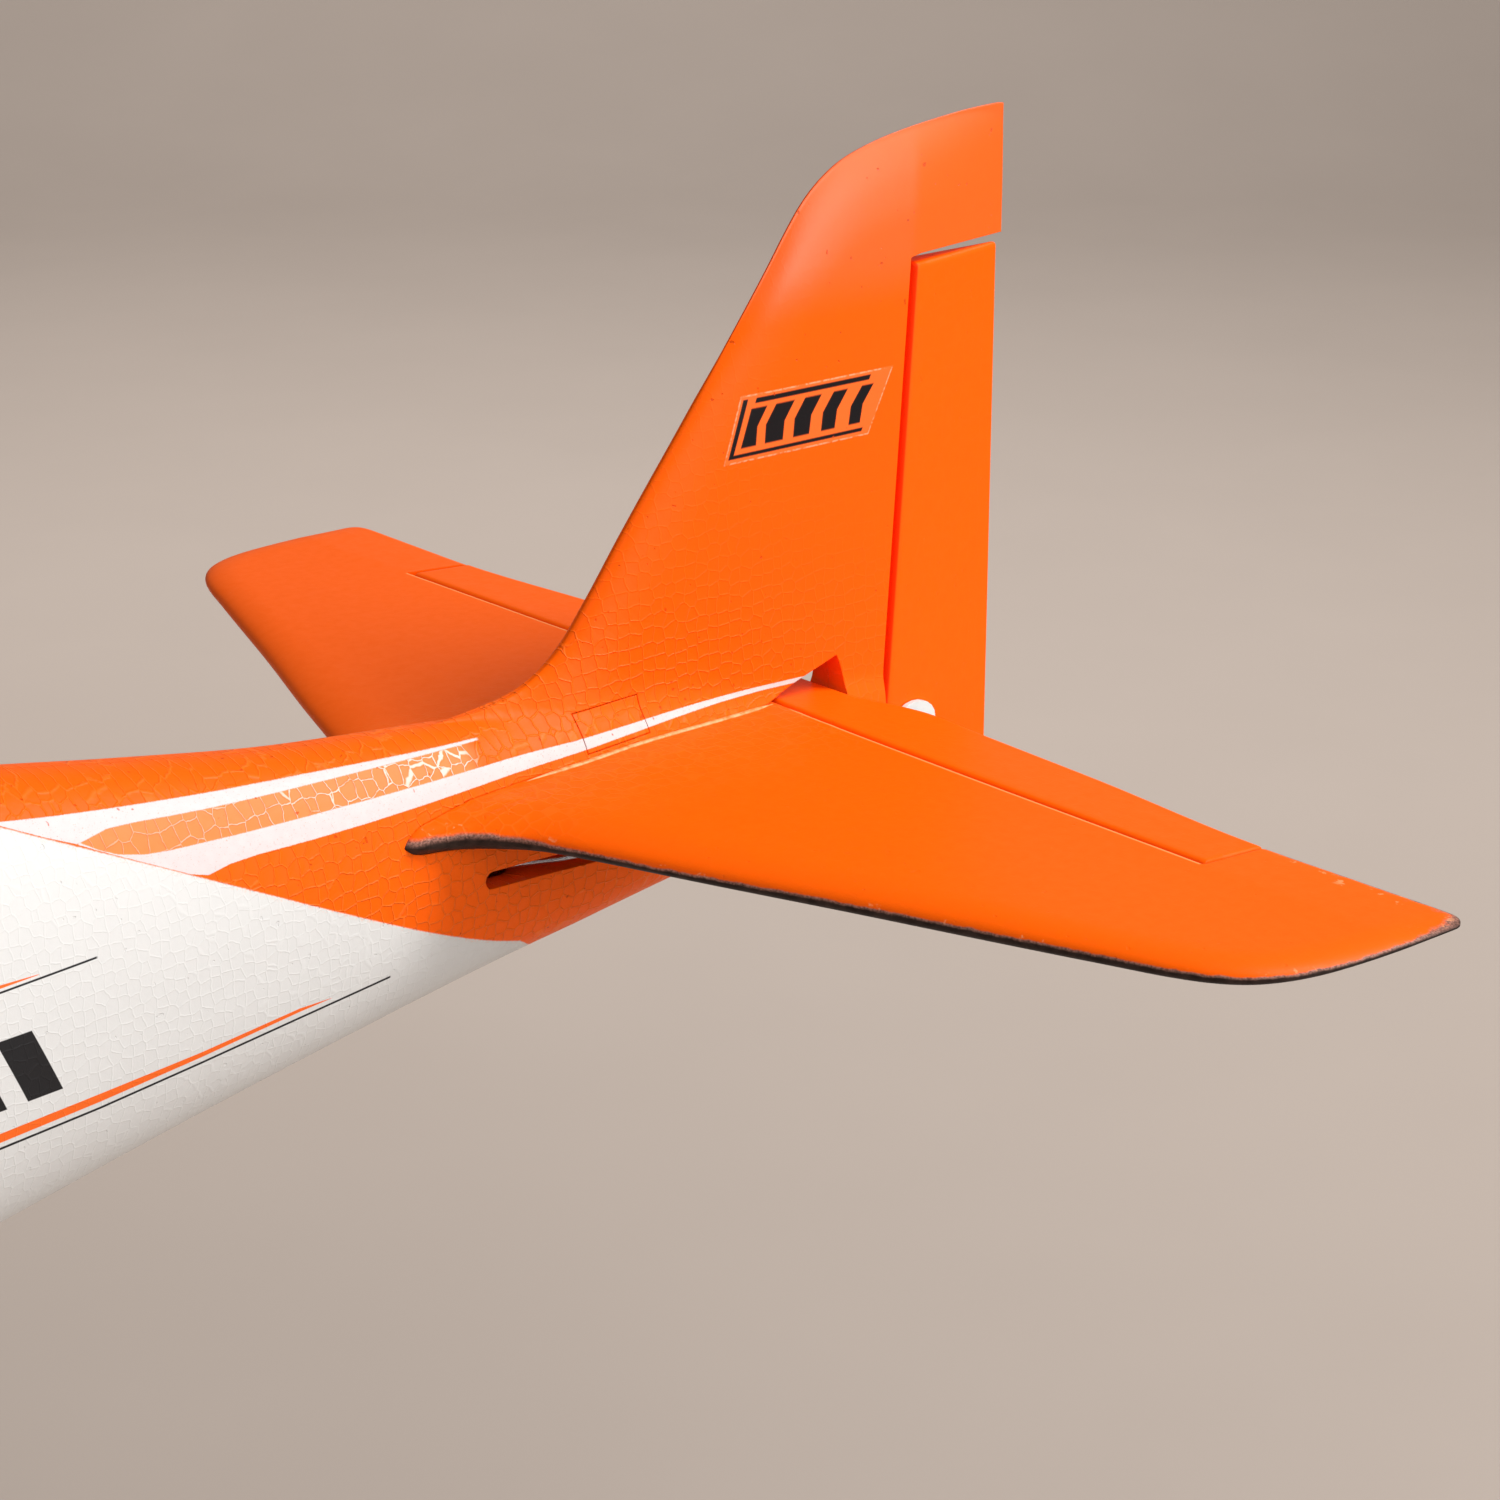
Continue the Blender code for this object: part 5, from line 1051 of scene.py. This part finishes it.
# ---------------------------------------------------------------- pieces
def piece(name, shape, mats, body, stands_for=(), smooth=35.0, pick=None):
    """A mesh piece from station-frame points, riding on a body; shape may be a finished mesh."""
    if isinstance(shape, bpy.types.Mesh):
        mesh = shape
    else:
        verts, faces = shape
        v = (np.array(verts, float).reshape(-1, 3) - np.array([X_OFF, 0, -Z_OFF])) * 0.001
        mesh = bpy.data.meshes.new(name)
        mesh.from_pydata(v.tolist(), [], [list(f) for f in faces])
        bm = bmesh.new()
        bm.from_mesh(mesh)
        bmesh.ops.recalc_face_normals(bm, faces=bm.faces)
        if bm.calc_volume(signed=True) < 0:
            bmesh.ops.reverse_faces(bm, faces=bm.faces)
        bm.to_mesh(mesh)
        bm.free()
    obj = bpy.data.objects.new(name, mesh)
    scene.collection.objects.link(obj)
    mesh.materials.clear()
    for m in mats if isinstance(mats, (list, tuple)) else [mats]:
        mesh.materials.append(m)
    mesh.shade_smooth()
    if smooth:
        mesh.set_sharp_from_angle(angle=math.radians(smooth))
    if pick is not None:
        for p in mesh.polygons:
            p.material_index = pick(p)
    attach(obj, body)
    if stands_for:
        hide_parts(*stands_for)
    return obj


def solid(shape):
    """A throwaway object for cutting."""
    verts, faces = shape
    v = (np.array(verts, float).reshape(-1, 3) - np.array([X_OFF, 0, -Z_OFF])) * 0.001
    mesh = bpy.data.meshes.new("tool")
    mesh.from_pydata(v.tolist(), [], [list(f) for f in faces])
    bm = bmesh.new()
    bm.from_mesh(mesh)
    bmesh.ops.recalc_face_normals(bm, faces=bm.faces)
    if bm.calc_volume(signed=True) < 0:
        bmesh.ops.reverse_faces(bm, faces=bm.faces)
    bm.to_mesh(mesh)
    bm.free()
    obj = bpy.data.objects.new("tool", mesh)
    scene.collection.objects.link(obj)
    return obj


def carved(shape, tools, op="DIFFERENCE", solver="MANIFOLD"):
    """The mesh of a shape less its tools."""
    base = solid(shape)
    objs = [solid(t) if not isinstance(t, tuple) or len(t) == 2 else solid(t[0]) for t in tools]
    for o in objs:
        m = base.modifiers.new("cut", "BOOLEAN")
        m.operation = op
        m.solver = solver
        m.object = o
    bpy.context.view_layer.update()
    mesh = bpy.data.meshes.new_from_object(base.evaluated_get(bpy.context.evaluated_depsgraph_get()))
    for o in [base] + objs:
        bpy.data.objects.remove(o)
    return mesh


def spread(a, b, n, ends=1.0):
    """n values from a to b, closer together at both ends."""
    t = np.linspace(0, 1, n)
    return a + (b - a) * ((1 - ends) * t + ends * (0.5 - 0.5 * np.cos(math.pi * t)))


SEAM = 0.06


def fine_shell(side):
    xs = np.concatenate([np.linspace(-93.6, -44, 30)[:-1], np.linspace(-44, 130, 110)[:-1], np.linspace(130, 330, 70)[:-1], np.linspace(330, 775, 110)])
    n_low, n_high = 34, 46
    zs = shell_grid(xs, n_low, n_high)
    X = np.repeat(np.array(xs)[:, None], zs.shape[1], 1)
    outer = np.maximum(skin(X, zs), SEAM)
    near = np.clip((zs - 92.0) / 22.0, 0, 1)
    outer = outer * (1 - near * (1 - round_in(np.maximum(outline_top(X) - zs, 0.0), 12.0)))
    outer[:, 0] = outer[:, -1] = SEAM
    outer[:, 1:-1] = np.maximum(outer[:, 1:-1], SEAM + 0.2)
    inner = np.minimum(np.maximum(bay(X, zs), SEAM), outer - 0.15)
    inner[:, 0] = inner[:, -1] = SEAM
    return pillow(np.stack([X, side * outer, zs], 2), np.stack([X, side * inner, zs], 2))


saddle = prism(saddle_line, "xz", -70, 70)
share = np.concatenate([[0, 0.002, 0.006, 0.012, 0.02, 0.032, 0.048], np.linspace(0.07, 1.0, 44)])
half_y = np.concatenate([[0, 5, 10, 16, 20], np.linspace(23, 60, 20), np.linspace(62, 200, 60), 228.8 - 26.8 * np.linspace(1, 0, 40) ** 1.6])


def strake_start():
    """Where the strake's leading edge leaves the fuselage skin."""
    ys_ = np.linspace(5.0, 40.0, 700)
    le = np.array([float(stab_le(v)) for v in ys_])
    out = ys_ > np.array([float(skin(a, 0.0)) for a in le])
    k = int(np.argmax(out))
    return float(le[k]), float(ys_[k])


STRAKE_X, STRAKE_Y = strake_start()


def strake_nose(x, y):
    """Thickness share of the strake's rounded nose."""
    if abs(y) > STRAKE_Y + 10:
        return np.ones_like(x)
    return np.maximum(round_in(np.maximum(STRAKE_X + 0.6 - x, 0.0), 7.5), 0.02)


def stab_section(y, g=0.0):
    """Stations and half thickness of the tailplane at y, grown by g."""
    y = abs(y)
    le, te = float(stab_le(y)), float(stab_te(y))
    if y > 223.5:
        te += 5.3 - math.sqrt(max(0.0, 5.3**2 - (y - 223.5) ** 2))
    x = le + (te - le) * share
    h = stab_half(x, y)
    h[0] = 0
    h = h * strake_nose(x, y)
    h[1:] = np.maximum(h[1:], 0.05) + g
    if y > 228.7:
        h[:] = 0
    x[0] += 2 * g
    return x, h * np.minimum(1, 0.55 + 0.45 * round_in(np.maximum(x - te, 0.0), 1.2))


P, Q = [], []
for y in [v for v in np.concatenate([-half_y[::-1], half_y[1:]]) if abs(v) < 50]:
    x, h = stab_section(y, 0.1)
    x = float(stab_le(abs(y))) + (-0.4 - float(stab_le(abs(y)))) * share
    h = np.where(share > 0, np.maximum(stab_half(x, y) * strake_nose(x, y), 0.05) + 0.1, 0.0)
    x[0] += 0.2
    P.append(np.stack([x, np.full_like(x, y), h], 1))
    Q.append(np.stack([x, np.full_like(x, y), -h], 1))
stab_slot = pillow(P, Q)
screws = [rod((362.0, 0, -95), (362.0, 0, -59.4), 2.2, 24), rod((490.0, 0, -95), (490.0, 0, -65.0), 2.2, 24)]
arch_fine = (
    [(12.0, 2.0), (ELEV_AXIS_X, 5.2)]
    + disc(ELEV_AXIS_X, 0, ARCH_R, 40, 180 - ARCH_A, 180 + ARCH_A)
    + [(ELEV_AXIS_X, -5.2), (12.0, -2.0)]
)
slot_fine = (
    [(109.3 + 2.35 * math.cos(a), -16.1 + 2.35 * math.sin(a)) for a in np.linspace(math.pi / 2, -math.pi / 2, 15)]
    + [(42.0, -23.7), (42.0, -18.7)]
)
for side, tag in ((1, "left"), (-1, "right")):
    lo, hi = (7.0, 60.0) if side > 0 else (-60.0, -7.0)
    mesh = carved(
        fine_shell(side),
        [
            prism(rudder_zone, "xz", -30, 30),
            saddle,
            stab_slot,
            prism(arch_fine, "xz", -40, 40),
            prism(canopy_zone, "xz", -80, 80),
            prism(slot_fine, "xz", lo, hi),
            insert_patch(side, 0.28, 3.6, 6.0),
        ]
        + screws,
    )
    piece(f"foam_shell_{tag}", mesh, M_BODY, "airframe", [f"fuselage_{tag}"], 32)


def patch_fine(side):
    x0, x1, z0, z1 = INSERT
    P, Q = [], []
    for x in np.linspace(x0, x1, 40):
        zs = np.minimum(np.linspace(z0, z1, 20), outline_top(x) - 1.2)
        h = skin(x, zs)
        P.append([(x, side * max(a + 0.05, 1.0), z) for a, z in zip(h, zs)])
        Q.append([(x, side * max(a - 3.3, 0.9), z) for a, z in zip(h, zs)])
    return pillow(P, Q)


for side, tag in ((1, "left"), (-1, "right")):
    piece(f"foam_insert_{tag}", patch_fine(side), M_BODY, "airframe", [f"tail_insert_{tag}"], 40)

# tailplane
ys = np.concatenate([-half_y[::-1], half_y[1:]])
P, Q = [], []
for y in ys:
    x, h = stab_section(y)
    P.append(np.stack([x, np.full_like(x, y), h], 1))
    Q.append(np.stack([x, np.full_like(x, y), -h], 1))
stab_mesh = carved(
    pillow(P, Q),
    [prism(rounded(-60, -166.6, 0.0, 166.6, 1.2, 5), "xy", -20, 20), rod((40, -150.5, 0), (40, 150.5, 0), 2.3, 24)],
    "DIFFERENCE",
    "EXACT",
)
piece("foam_tailplane", stab_mesh, M_STAB, "airframe", ["stabilizer"], 34)

# moulded lip where the tailplane meets the fuselage skin, and the seam inboard of it; the lip's pale peach is a
# painted highlight and the seam's dark red is painted shade
def lip_material(name, a, b):
    g = Graph(name)
    n = g.noise(0.5, 3.0, 0.6)
    return g.finish(g.mix(g.rise(n, 0.35, 0.7), a, b), 0.42, g.mul(g.noise(0.9, 3.0, 0.6), 0.04), spec=0.3)


# pale peach colour of the lip: painted highlight
M_LIP_PAINTED_HIGHLIGHT = lip_material("root_lip_painted_highlight", (1.0, 0.40, 0.17), (1.0, 0.20, 0.03))
# dark red colour of the seam strip: painted shade in the joint
M_SEAM_PAINTED_SHADE = lip_material("root_seam_painted_shade", (0.50, 0.035, 0.0), (0.30, 0.02, 0.0))
for side, tag in ((1, "left"), (-1, "right")):
    for kind, size, shift, mat in (("lip", 0.85, 0.55, M_LIP_PAINTED_HIGHLIGHT), ("seam", 0.5, -0.45, M_SEAM_PAINTED_SHADE)):
        rings = []
        for k, x in enumerate(np.linspace(94.0, 1.0, 70)):
            y = float(skin(x, 3.0)) + 0.25
            for _ in range(3):
                y = float(skin(x, float(stab_half(x, y)) + 0.4)) + 0.2
            z = float(stab_half(x, y + shift))
            r = size * min(1.0, 0.15 + k / 10.0, 0.15 + (69 - k) / 6.0)
            rings.append([(x, side * (y + shift + r * math.cos(t)), z + r * 0.62 * math.sin(t)) for t in np.linspace(0, 2 * math.pi, 13)[:-1]])
        piece(f"root_{kind}_{tag}", loft(rings), mat, "airframe", (), 60)

# elevator
e_half = np.concatenate([[0, 4, 8, 11, 13, 15], np.linspace(17, 60, 30), np.linspace(62, 163, 60), [164.2, 164.9, 165.25, 165.4]])
ey = np.concatenate([-e_half[::-1], e_half[1:]])
P, Q = [], []
ang = np.linspace(0, math.pi / 2, 8)
for y in ey:
    te = float(stab_te(abs(y)))
    if abs(y) < 16:
        te = max(te, ELEV_AXIS_X - ARCH_R + 2.4)
    x0 = ELEV_AXIS_X - 0.1
    nose_x = x0 - 2.1 * (1 - np.cos(ang)) ** 0.9
    rest = x0 - 2.1 + (te - x0 + 2.1) * np.concatenate([np.linspace(0, 0.95, 16)[1:], [0.975, 0.99, 1.0]])
    x = np.concatenate([nose_x, rest])
    h = stab_half(x, y)
    h[:8] = float(h[7]) * np.sin(ang) ** 0.85
    h = h * (0.45 + 0.55 * round_in(np.maximum(x - te, 0.0), 0.7))
    edge = float(round_in(165.4 - abs(y), 0.9))
    h = h * (0.35 + 0.65 * edge)
    P.append(np.stack([x, np.full_like(x, y), h], 1))
    Q.append(np.stack([x, np.full_like(x, y), -h], 1))
piece("foam_elevator", pillow(P, Q), M_ELEV, "elevator", ["elevator"], 40)

# rudder
rz = np.concatenate([[-36.5, -36.3, -36.0, -35.4, -34.6], np.linspace(-33.5, 117.4, 90), [118.4, 119.1, 119.5, 119.7, RUDDER_TOP]])
P, Q = [], []
for z in rz:
    xh, te = float(hinge_x(z)), -91.6
    te += 1.1 - math.sqrt(max(0.0, 1.1**2 - max(0.0, z - (RUDDER_TOP - 1.1)) ** 2))
    te += 1.6 - math.sqrt(max(0.0, 1.6**2 - max(0.0, -34.9 - z) ** 2))
    nose_x = xh - 0.2 - 2.2 * (1 - np.cos(ang))
    rest = xh - 2.4 + (te - xh + 2.4) * np.concatenate([np.linspace(0, 0.965, 26)[1:], [0.98, 0.99, 0.996, 1.0]])
    x = np.concatenate([nose_x, rest])
    aft = np.clip((xh - x) / (xh - FIN_TE), 0, 1)
    h = float(fin_half(z)) * (1 - 0.84 * aft)
    h[:8] = float(h[7]) * np.sin(ang)
    h = h * (0.4 + 0.6 * round_in(np.maximum(x - te, 0.0), 0.8))
    h = h * (0.45 + 0.55 * float(round_in(min(z + 36.5, RUDDER_TOP - z), 1.1)))
    if z < -30:
        h = h * (0.8 + 0.2 * float(step(z, -36, -30)))
    row = z + 1.0 * aft * min(1.0, max(0.0, (z - 112.0) / (RUDDER_TOP - 112.0)))
    P.append(np.stack([x, h, row], 1))
    Q.append(np.stack([x, -h, row], 1))
piece("foam_rudder", pillow(P, Q), M_ORANGE, "rudder", ["rudder"], 40)


# wing panels and ailerons
def by_normal(p):
    return 1 if p.normal.z < -0.15 else 0


wy = np.concatenate([np.linspace(0, 560, 90), np.linspace(565, 735, 50), 750 - 15 * np.linspace(0.9, 0, 14) ** 1.7])
ws = 0.5 - 0.5 * np.cos(np.linspace(0, 1, 56) * math.pi)
for side, tag in ((1, "left"), (-1, "right")):
    P, Q = wing_grid(side, wy, ws)
    for k, y in enumerate(wy):
        c = float(round_in(750.0 - y, 16.0))
        mid = (P[k, :, 2] + Q[k, :, 2]) / 2
        half = (P[k, :, 2] - Q[k, :, 2]) / 2 * (c if y < 749.9 else 0.0)
        P[k, :, 2], Q[k, :, 2] = mid + half, mid - half
    if side < 0:
        pass
    h0, h1 = hinge_ail(AIL_Y0), hinge_ail(AIL_Y1)
    sy, zb = side * 345.0, float(wing_z(345))
    tools = [
        prism([(h0 + 1.3, side * (AIL_Y0 - 0.8)), (h1 + 1.3, side * (AIL_Y1 + 0.8)), (300, side * (AIL_Y1 + 0.8)), (300, side * (AIL_Y0 - 0.8))], "xy", -140, 40),
        rod((455.0, side * -5, -75.0), (455.0, side * 240, -75.0), 3.4, 24),
        box((424.4 - 12, min(sy - side * 8.0, sy + side * 16.5), zb - 6), (424.4 + 22, max(sy - side * 8.0, sy + side * 16.5), zb + 12.2)),
        rod((362.0, 0, -95), (362.0, 0, -40), 2.2, 20),
        rod((490.0, 0, -95), (490.0, 0, -40), 2.2, 20),
    ]
    mesh = carved(pillow(P, Q), tools)
    piece(f"foam_wing_{tag}", mesh, [M_WING_TOP, M_WING_LOW], "airframe", [f"wing_{tag}"], 34, by_normal)

    P, Q = [], []
    ay = np.concatenate([[AIL_Y0, AIL_Y0 + 0.15, AIL_Y0 + 0.5], np.linspace(AIL_Y0 + 1.2, AIL_Y1 - 1.2, 50), [AIL_Y1 - 0.5, AIL_Y1 - 0.15, AIL_Y1]])
    for y in ay:
        le, te = float(wing_le(y)), float(wing_te(y))
        xh = hinge_ail(y)
        nose_x = xh - 0.2 - 2.2 * (1 - np.cos(ang))
        rest = xh - 2.4 + (te - xh + 2.4) * np.concatenate([np.linspace(0, 0.96, 20)[1:], [0.98, 0.992, 1.0]])
        x = np.concatenate([nose_x, rest])
        _, lo, up = wing_surfaces(y, (le - x) / (le - te))
        mid, half = (lo + up) / 2, (up - lo) / 2
        half[:8] = half[7] * np.sin(ang)
        mid[:8] = mid[7] + (mid[:8] - mid[7]) * 0.5
        k = 0.5 + 0.5 * float(round_in(min(y - AIL_Y0, AIL_Y1 - y), 1.0))
        P.append(np.stack([x, np.full_like(x, side * y), mid + half * k], 1))
        Q.append(np.stack([x, np.full_like(x, side * y), mid - half * k], 1))
    piece(f"foam_aileron_{tag}", pillow(P, Q), [M_WING_TOP, M_WING_LOW], f"aileron_{tag}", [f"aileron_{tag}"], 40, by_normal)


# canopy
def ring_fine(x, inset, low, n=26):
    zt = float(body_top(x)) - inset
    zs = low + (zt - low) * np.sin(np.linspace(0, 1, n) * math.pi / 2)
    w = np.maximum(skin(x, np.minimum(zs + inset * (zs - low) / (zt - low), float(body_top(x)))) - inset, 0.0)
    w[-1] = 0
    return [(x, wi, zi) for wi, zi in zip(w, zs)] + [(x, -wi, zi) for wi, zi in zip(w[:-1], zs[:-1])][::-1]


canopy_mesh = carved(loft([ring_fine(x, 0.0, -12.0) for x in np.linspace(446, 728, 110)]), [prism(grow(canopy_zone, -0.3), "xz", -80, 80)], "INTERSECT", "EXACT")
tmp = bpy.data.objects.new("tmp", canopy_mesh)
scene.collection.objects.link(tmp)
for shape, op in (
    (loft([ring_fine(x, 4.5, -20.0) for x in np.linspace(481, 690, 60)]), "DIFFERENCE"),
    (box((473.5, -6.5, 29.5), (486.0, 6.5, 52.0)), "UNION"),
    (rod((460.0, 0, 36), (476.2, 0, 36), 4.4, 32), "DIFFERENCE"),
):
    m = tmp.modifiers.new("cut", "BOOLEAN")
    m.operation, m.solver, m.object = op, "EXACT", solid(shape)
bpy.context.view_layer.update()
mesh = bpy.data.meshes.new_from_object(tmp.evaluated_get(bpy.context.evaluated_depsgraph_get()))
for m in list(tmp.modifiers):
    bpy.data.objects.remove(m.object)
bpy.data.objects.remove(tmp)
piece("canopy_shell", mesh, M_CANOPY, "canopy", ["canopy"], 34)

# spinner and folding blades
prof = []
for k in range(33):
    u = k / 32
    prof.append((45.0 * u, SPINNER_R * math.sqrt(max(0, 1 - u**1.9)) ** 1.05 if k < 32 else 0))
inner_prof = [(a - (1.4 if k else 0) - (0.8 if a > 28 else 0), max(0, r - 1.3)) for k, (a, r) in enumerate(prof[:-1])]
back = [(42.0, 0.0)] + [(a, r) for a, r in inner_prof[::-1] if a < 39.5]
tools = []
for s in (1, -1):
    lo, hi = (11.5, 30.0) if s > 0 else (-30.0, -11.5)
    tools.append(prism(rounded(770, SHAFT_Z - 7.2, 806.6, SHAFT_Z + 7.2, 2.5, 6), "xz", lo, hi))
spinner_mesh = carved(turned(back + prof, (777, 0, SHAFT_Z), (1, 0, 0), 96), tools, "DIFFERENCE", "EXACT")
piece("spinner_cone", spinner_mesh, M_SPINNER, "propeller", ["spinner"], 40)

B_R = [-3.2, 0.0, 4.6, 10, 20, 34, 52, 70, 84, 92, BLADE_LEN]
B_C = [4.4, 4.8, 4.4, 6.5, 13, 19.5, 20.5, 17.5, 12.5, 7.5, 3.4]
B_T = [5.2, 5.2, 5.2, 4.2, 3.4, 2.9, 2.5, 2.1, 1.7, 1.4, 1.2]
B_P = [0, 0, 0, 22, 30, 26, 21, 17, 15, 14, 13]
for s, tag in ((1, "a"), (-1, "b")):
    rings = []
    for r in np.concatenate([np.linspace(-3.2, 10, 14)[:-1], np.linspace(10, 88, 50)[:-1], np.linspace(88, BLADE_LEN, 12)]):
        chord, thick, pitch = (float(pchip(B_R, c, r)) for c in (B_C, B_T, B_P))
        end = float(round_in(BLADE_LEN + 0.05 - r, 5.0)) * 0.55 + 0.45 if r > BLADE_LEN - 5 else 1.0
        a = math.radians(pitch) * s
        ring = []
        for k in range(40):
            t = 2 * math.pi * k / 40
            u, v = chord / 2 * math.cos(t) * end, thick / 2 * math.sin(t) * end
            if r > 8:
                v *= 1 - 0.35 * math.cos(t)
            z, x = u * math.cos(a) - v * math.sin(a), u * math.sin(a) + v * math.cos(a)
            ring.append((BLADE_PIN_X + x, s * (BLADE_PIN_Y + r), SHAFT_Z + z))
        rings.append(ring)
    mesh = carved(loft(rings), [rod((BLADE_PIN_X, s * BLADE_PIN_Y, SHAFT_Z - 8), (BLADE_PIN_X, s * BLADE_PIN_Y, SHAFT_Z + 8), 1.1, 24)], "DIFFERENCE", "EXACT")
    piece(f"prop_blade_{tag}", mesh, M_BLADE, f"blade_{tag}", [f"blade_{tag}"], 40)

# ---------------------------------------------------------------- finishes of the parts kept as packed
KEPT = {
    "stab_spar": M_CARBON_Y,
    "wing_spar_tube": M_CARBON_Y,
    "belly_skid": M_BLACK,
    "firewall": M_BLACK,
    "servo_tray": M_BLACK,
    "battery_tray": M_BLACK,
    "canopy_former": M_BLACK,
    "battery": M_WRAP,
    "battery_strap": M_STRAP,
    "esc": M_ELEC,
    "receiver": M_ELEC,
}
for name, node in NODES.items():
    if node.hide_render:
        continue
    if name in KEPT:
        m = KEPT[name]
    elif "pushrod" in name or "blade_pin" in name:
        m = M_STEEL
    elif "horn" in name or "servo_arm" in name or "guide_tube" in name or "wing_screw" in name:
        m = M_WHITE
    elif "servo" in name:
        m = M_SERVO
    else:
        m = M_ALU
    node.data.materials.clear()
    node.data.materials.append(m)

# ---------------------------------------------------------------- studio
FLOOR_Z = -0.55


def stage_material():
    g = Graph("studio_sweep")
    n = g.noise(0.004, 3.0, 0.5)
    f = g.noise(0.9, 3.0, 0.6)
    colour = g.mix(n, (0.452, 0.380, 0.331), (0.480, 0.405, 0.353))
    return g.finish(colour, g.m("MULTIPLY_ADD", f, 0.05, 0.75), g.mul(f, 0.02), spec=0.1)


rows = []
for t in np.linspace(0, 1, 60):
    # floor runs back from the camera, then sweeps up
    if t < 0.5:
        rows.append((2.5 - 7.0 * t / 0.5, FLOOR_Z))
    else:
        a = (t - 0.5) / 0.5
        if a < 0.6:
            b = a / 0.6 * math.pi / 2
            rows.append((-4.5 - 2.0 * math.sin(b), FLOOR_Z + 2.0 * (1 - math.cos(b))))
        else:
            rows.append((-6.5, FLOOR_Z + 2.0 + (a - 0.6) / 0.4 * 4.0))
fwd = np.array([math.sin(AZ), math.cos(AZ), 0.0])
across = np.array([math.cos(AZ), -math.sin(AZ), 0.0])
verts, faces = [], []
for d, z in rows:
    for w in np.linspace(-7, 7, 9):
        p = fwd * d + across * w
        verts.append((p[0], p[1], z))
for i in range(len(rows) - 1):
    for j in range(8):
        a = i * 9 + j
        faces.append((a, a + 1, a + 10, a + 9))
mesh = bpy.data.meshes.new("studio_sweep")
mesh.from_pydata(verts, [], faces)
mesh.materials.append(stage_material())
mesh.shade_smooth()
sweep = bpy.data.objects.new("studio_sweep", mesh)
scene.collection.objects.link(sweep)


def area(name, aim, direction, distance, size, power, colour=(1, 1, 1)):
    d = Vector(direction).normalized()
    data = bpy.data.lights.new(name, "AREA")
    data.shape = "RECTANGLE"
    data.size, data.size_y = size
    data.energy = power
    data.color = colour
    o = bpy.data.objects.new(name, data)
    scene.collection.objects.link(o)
    o.location = Vector(aim) + d * distance
    o.rotation_euler = d.to_track_quat("Z", "Y").to_euler()
    return o


tail = (-0.35, 0.05, 0.10)
area("key_overhead", tail, (-0.56, 0.32, 0.76), 2.2, (1.25, 1.25), 56)
area("fill_front", tail, (-0.36, 0.92, 0.22), 3.2, (2.4, 1.8), 54)
area("fill_left", tail, (1.0, 0.1, 0.35), 3.4, (2.2, 2.2), 8)
area("wash_floor", (0, 0, -0.5), (0.55, 0.55, 0.65), 4.0, (3.0, 3.0), 24)
area("wash_back", (-3.4, -3.8, 0.7), (0.55, 0.62, 0.55), 3.2, (3.0, 3.0), 112)

w = bpy.data.worlds.new("studio_air")
scene.world = w
w.use_nodes = True
bg = w.node_tree.nodes["Background"]
bg.inputs[0].default_value = (1.0, 0.985, 0.965, 1)
bg.inputs[1].default_value = 0.18

bpy.context.view_layer.update()
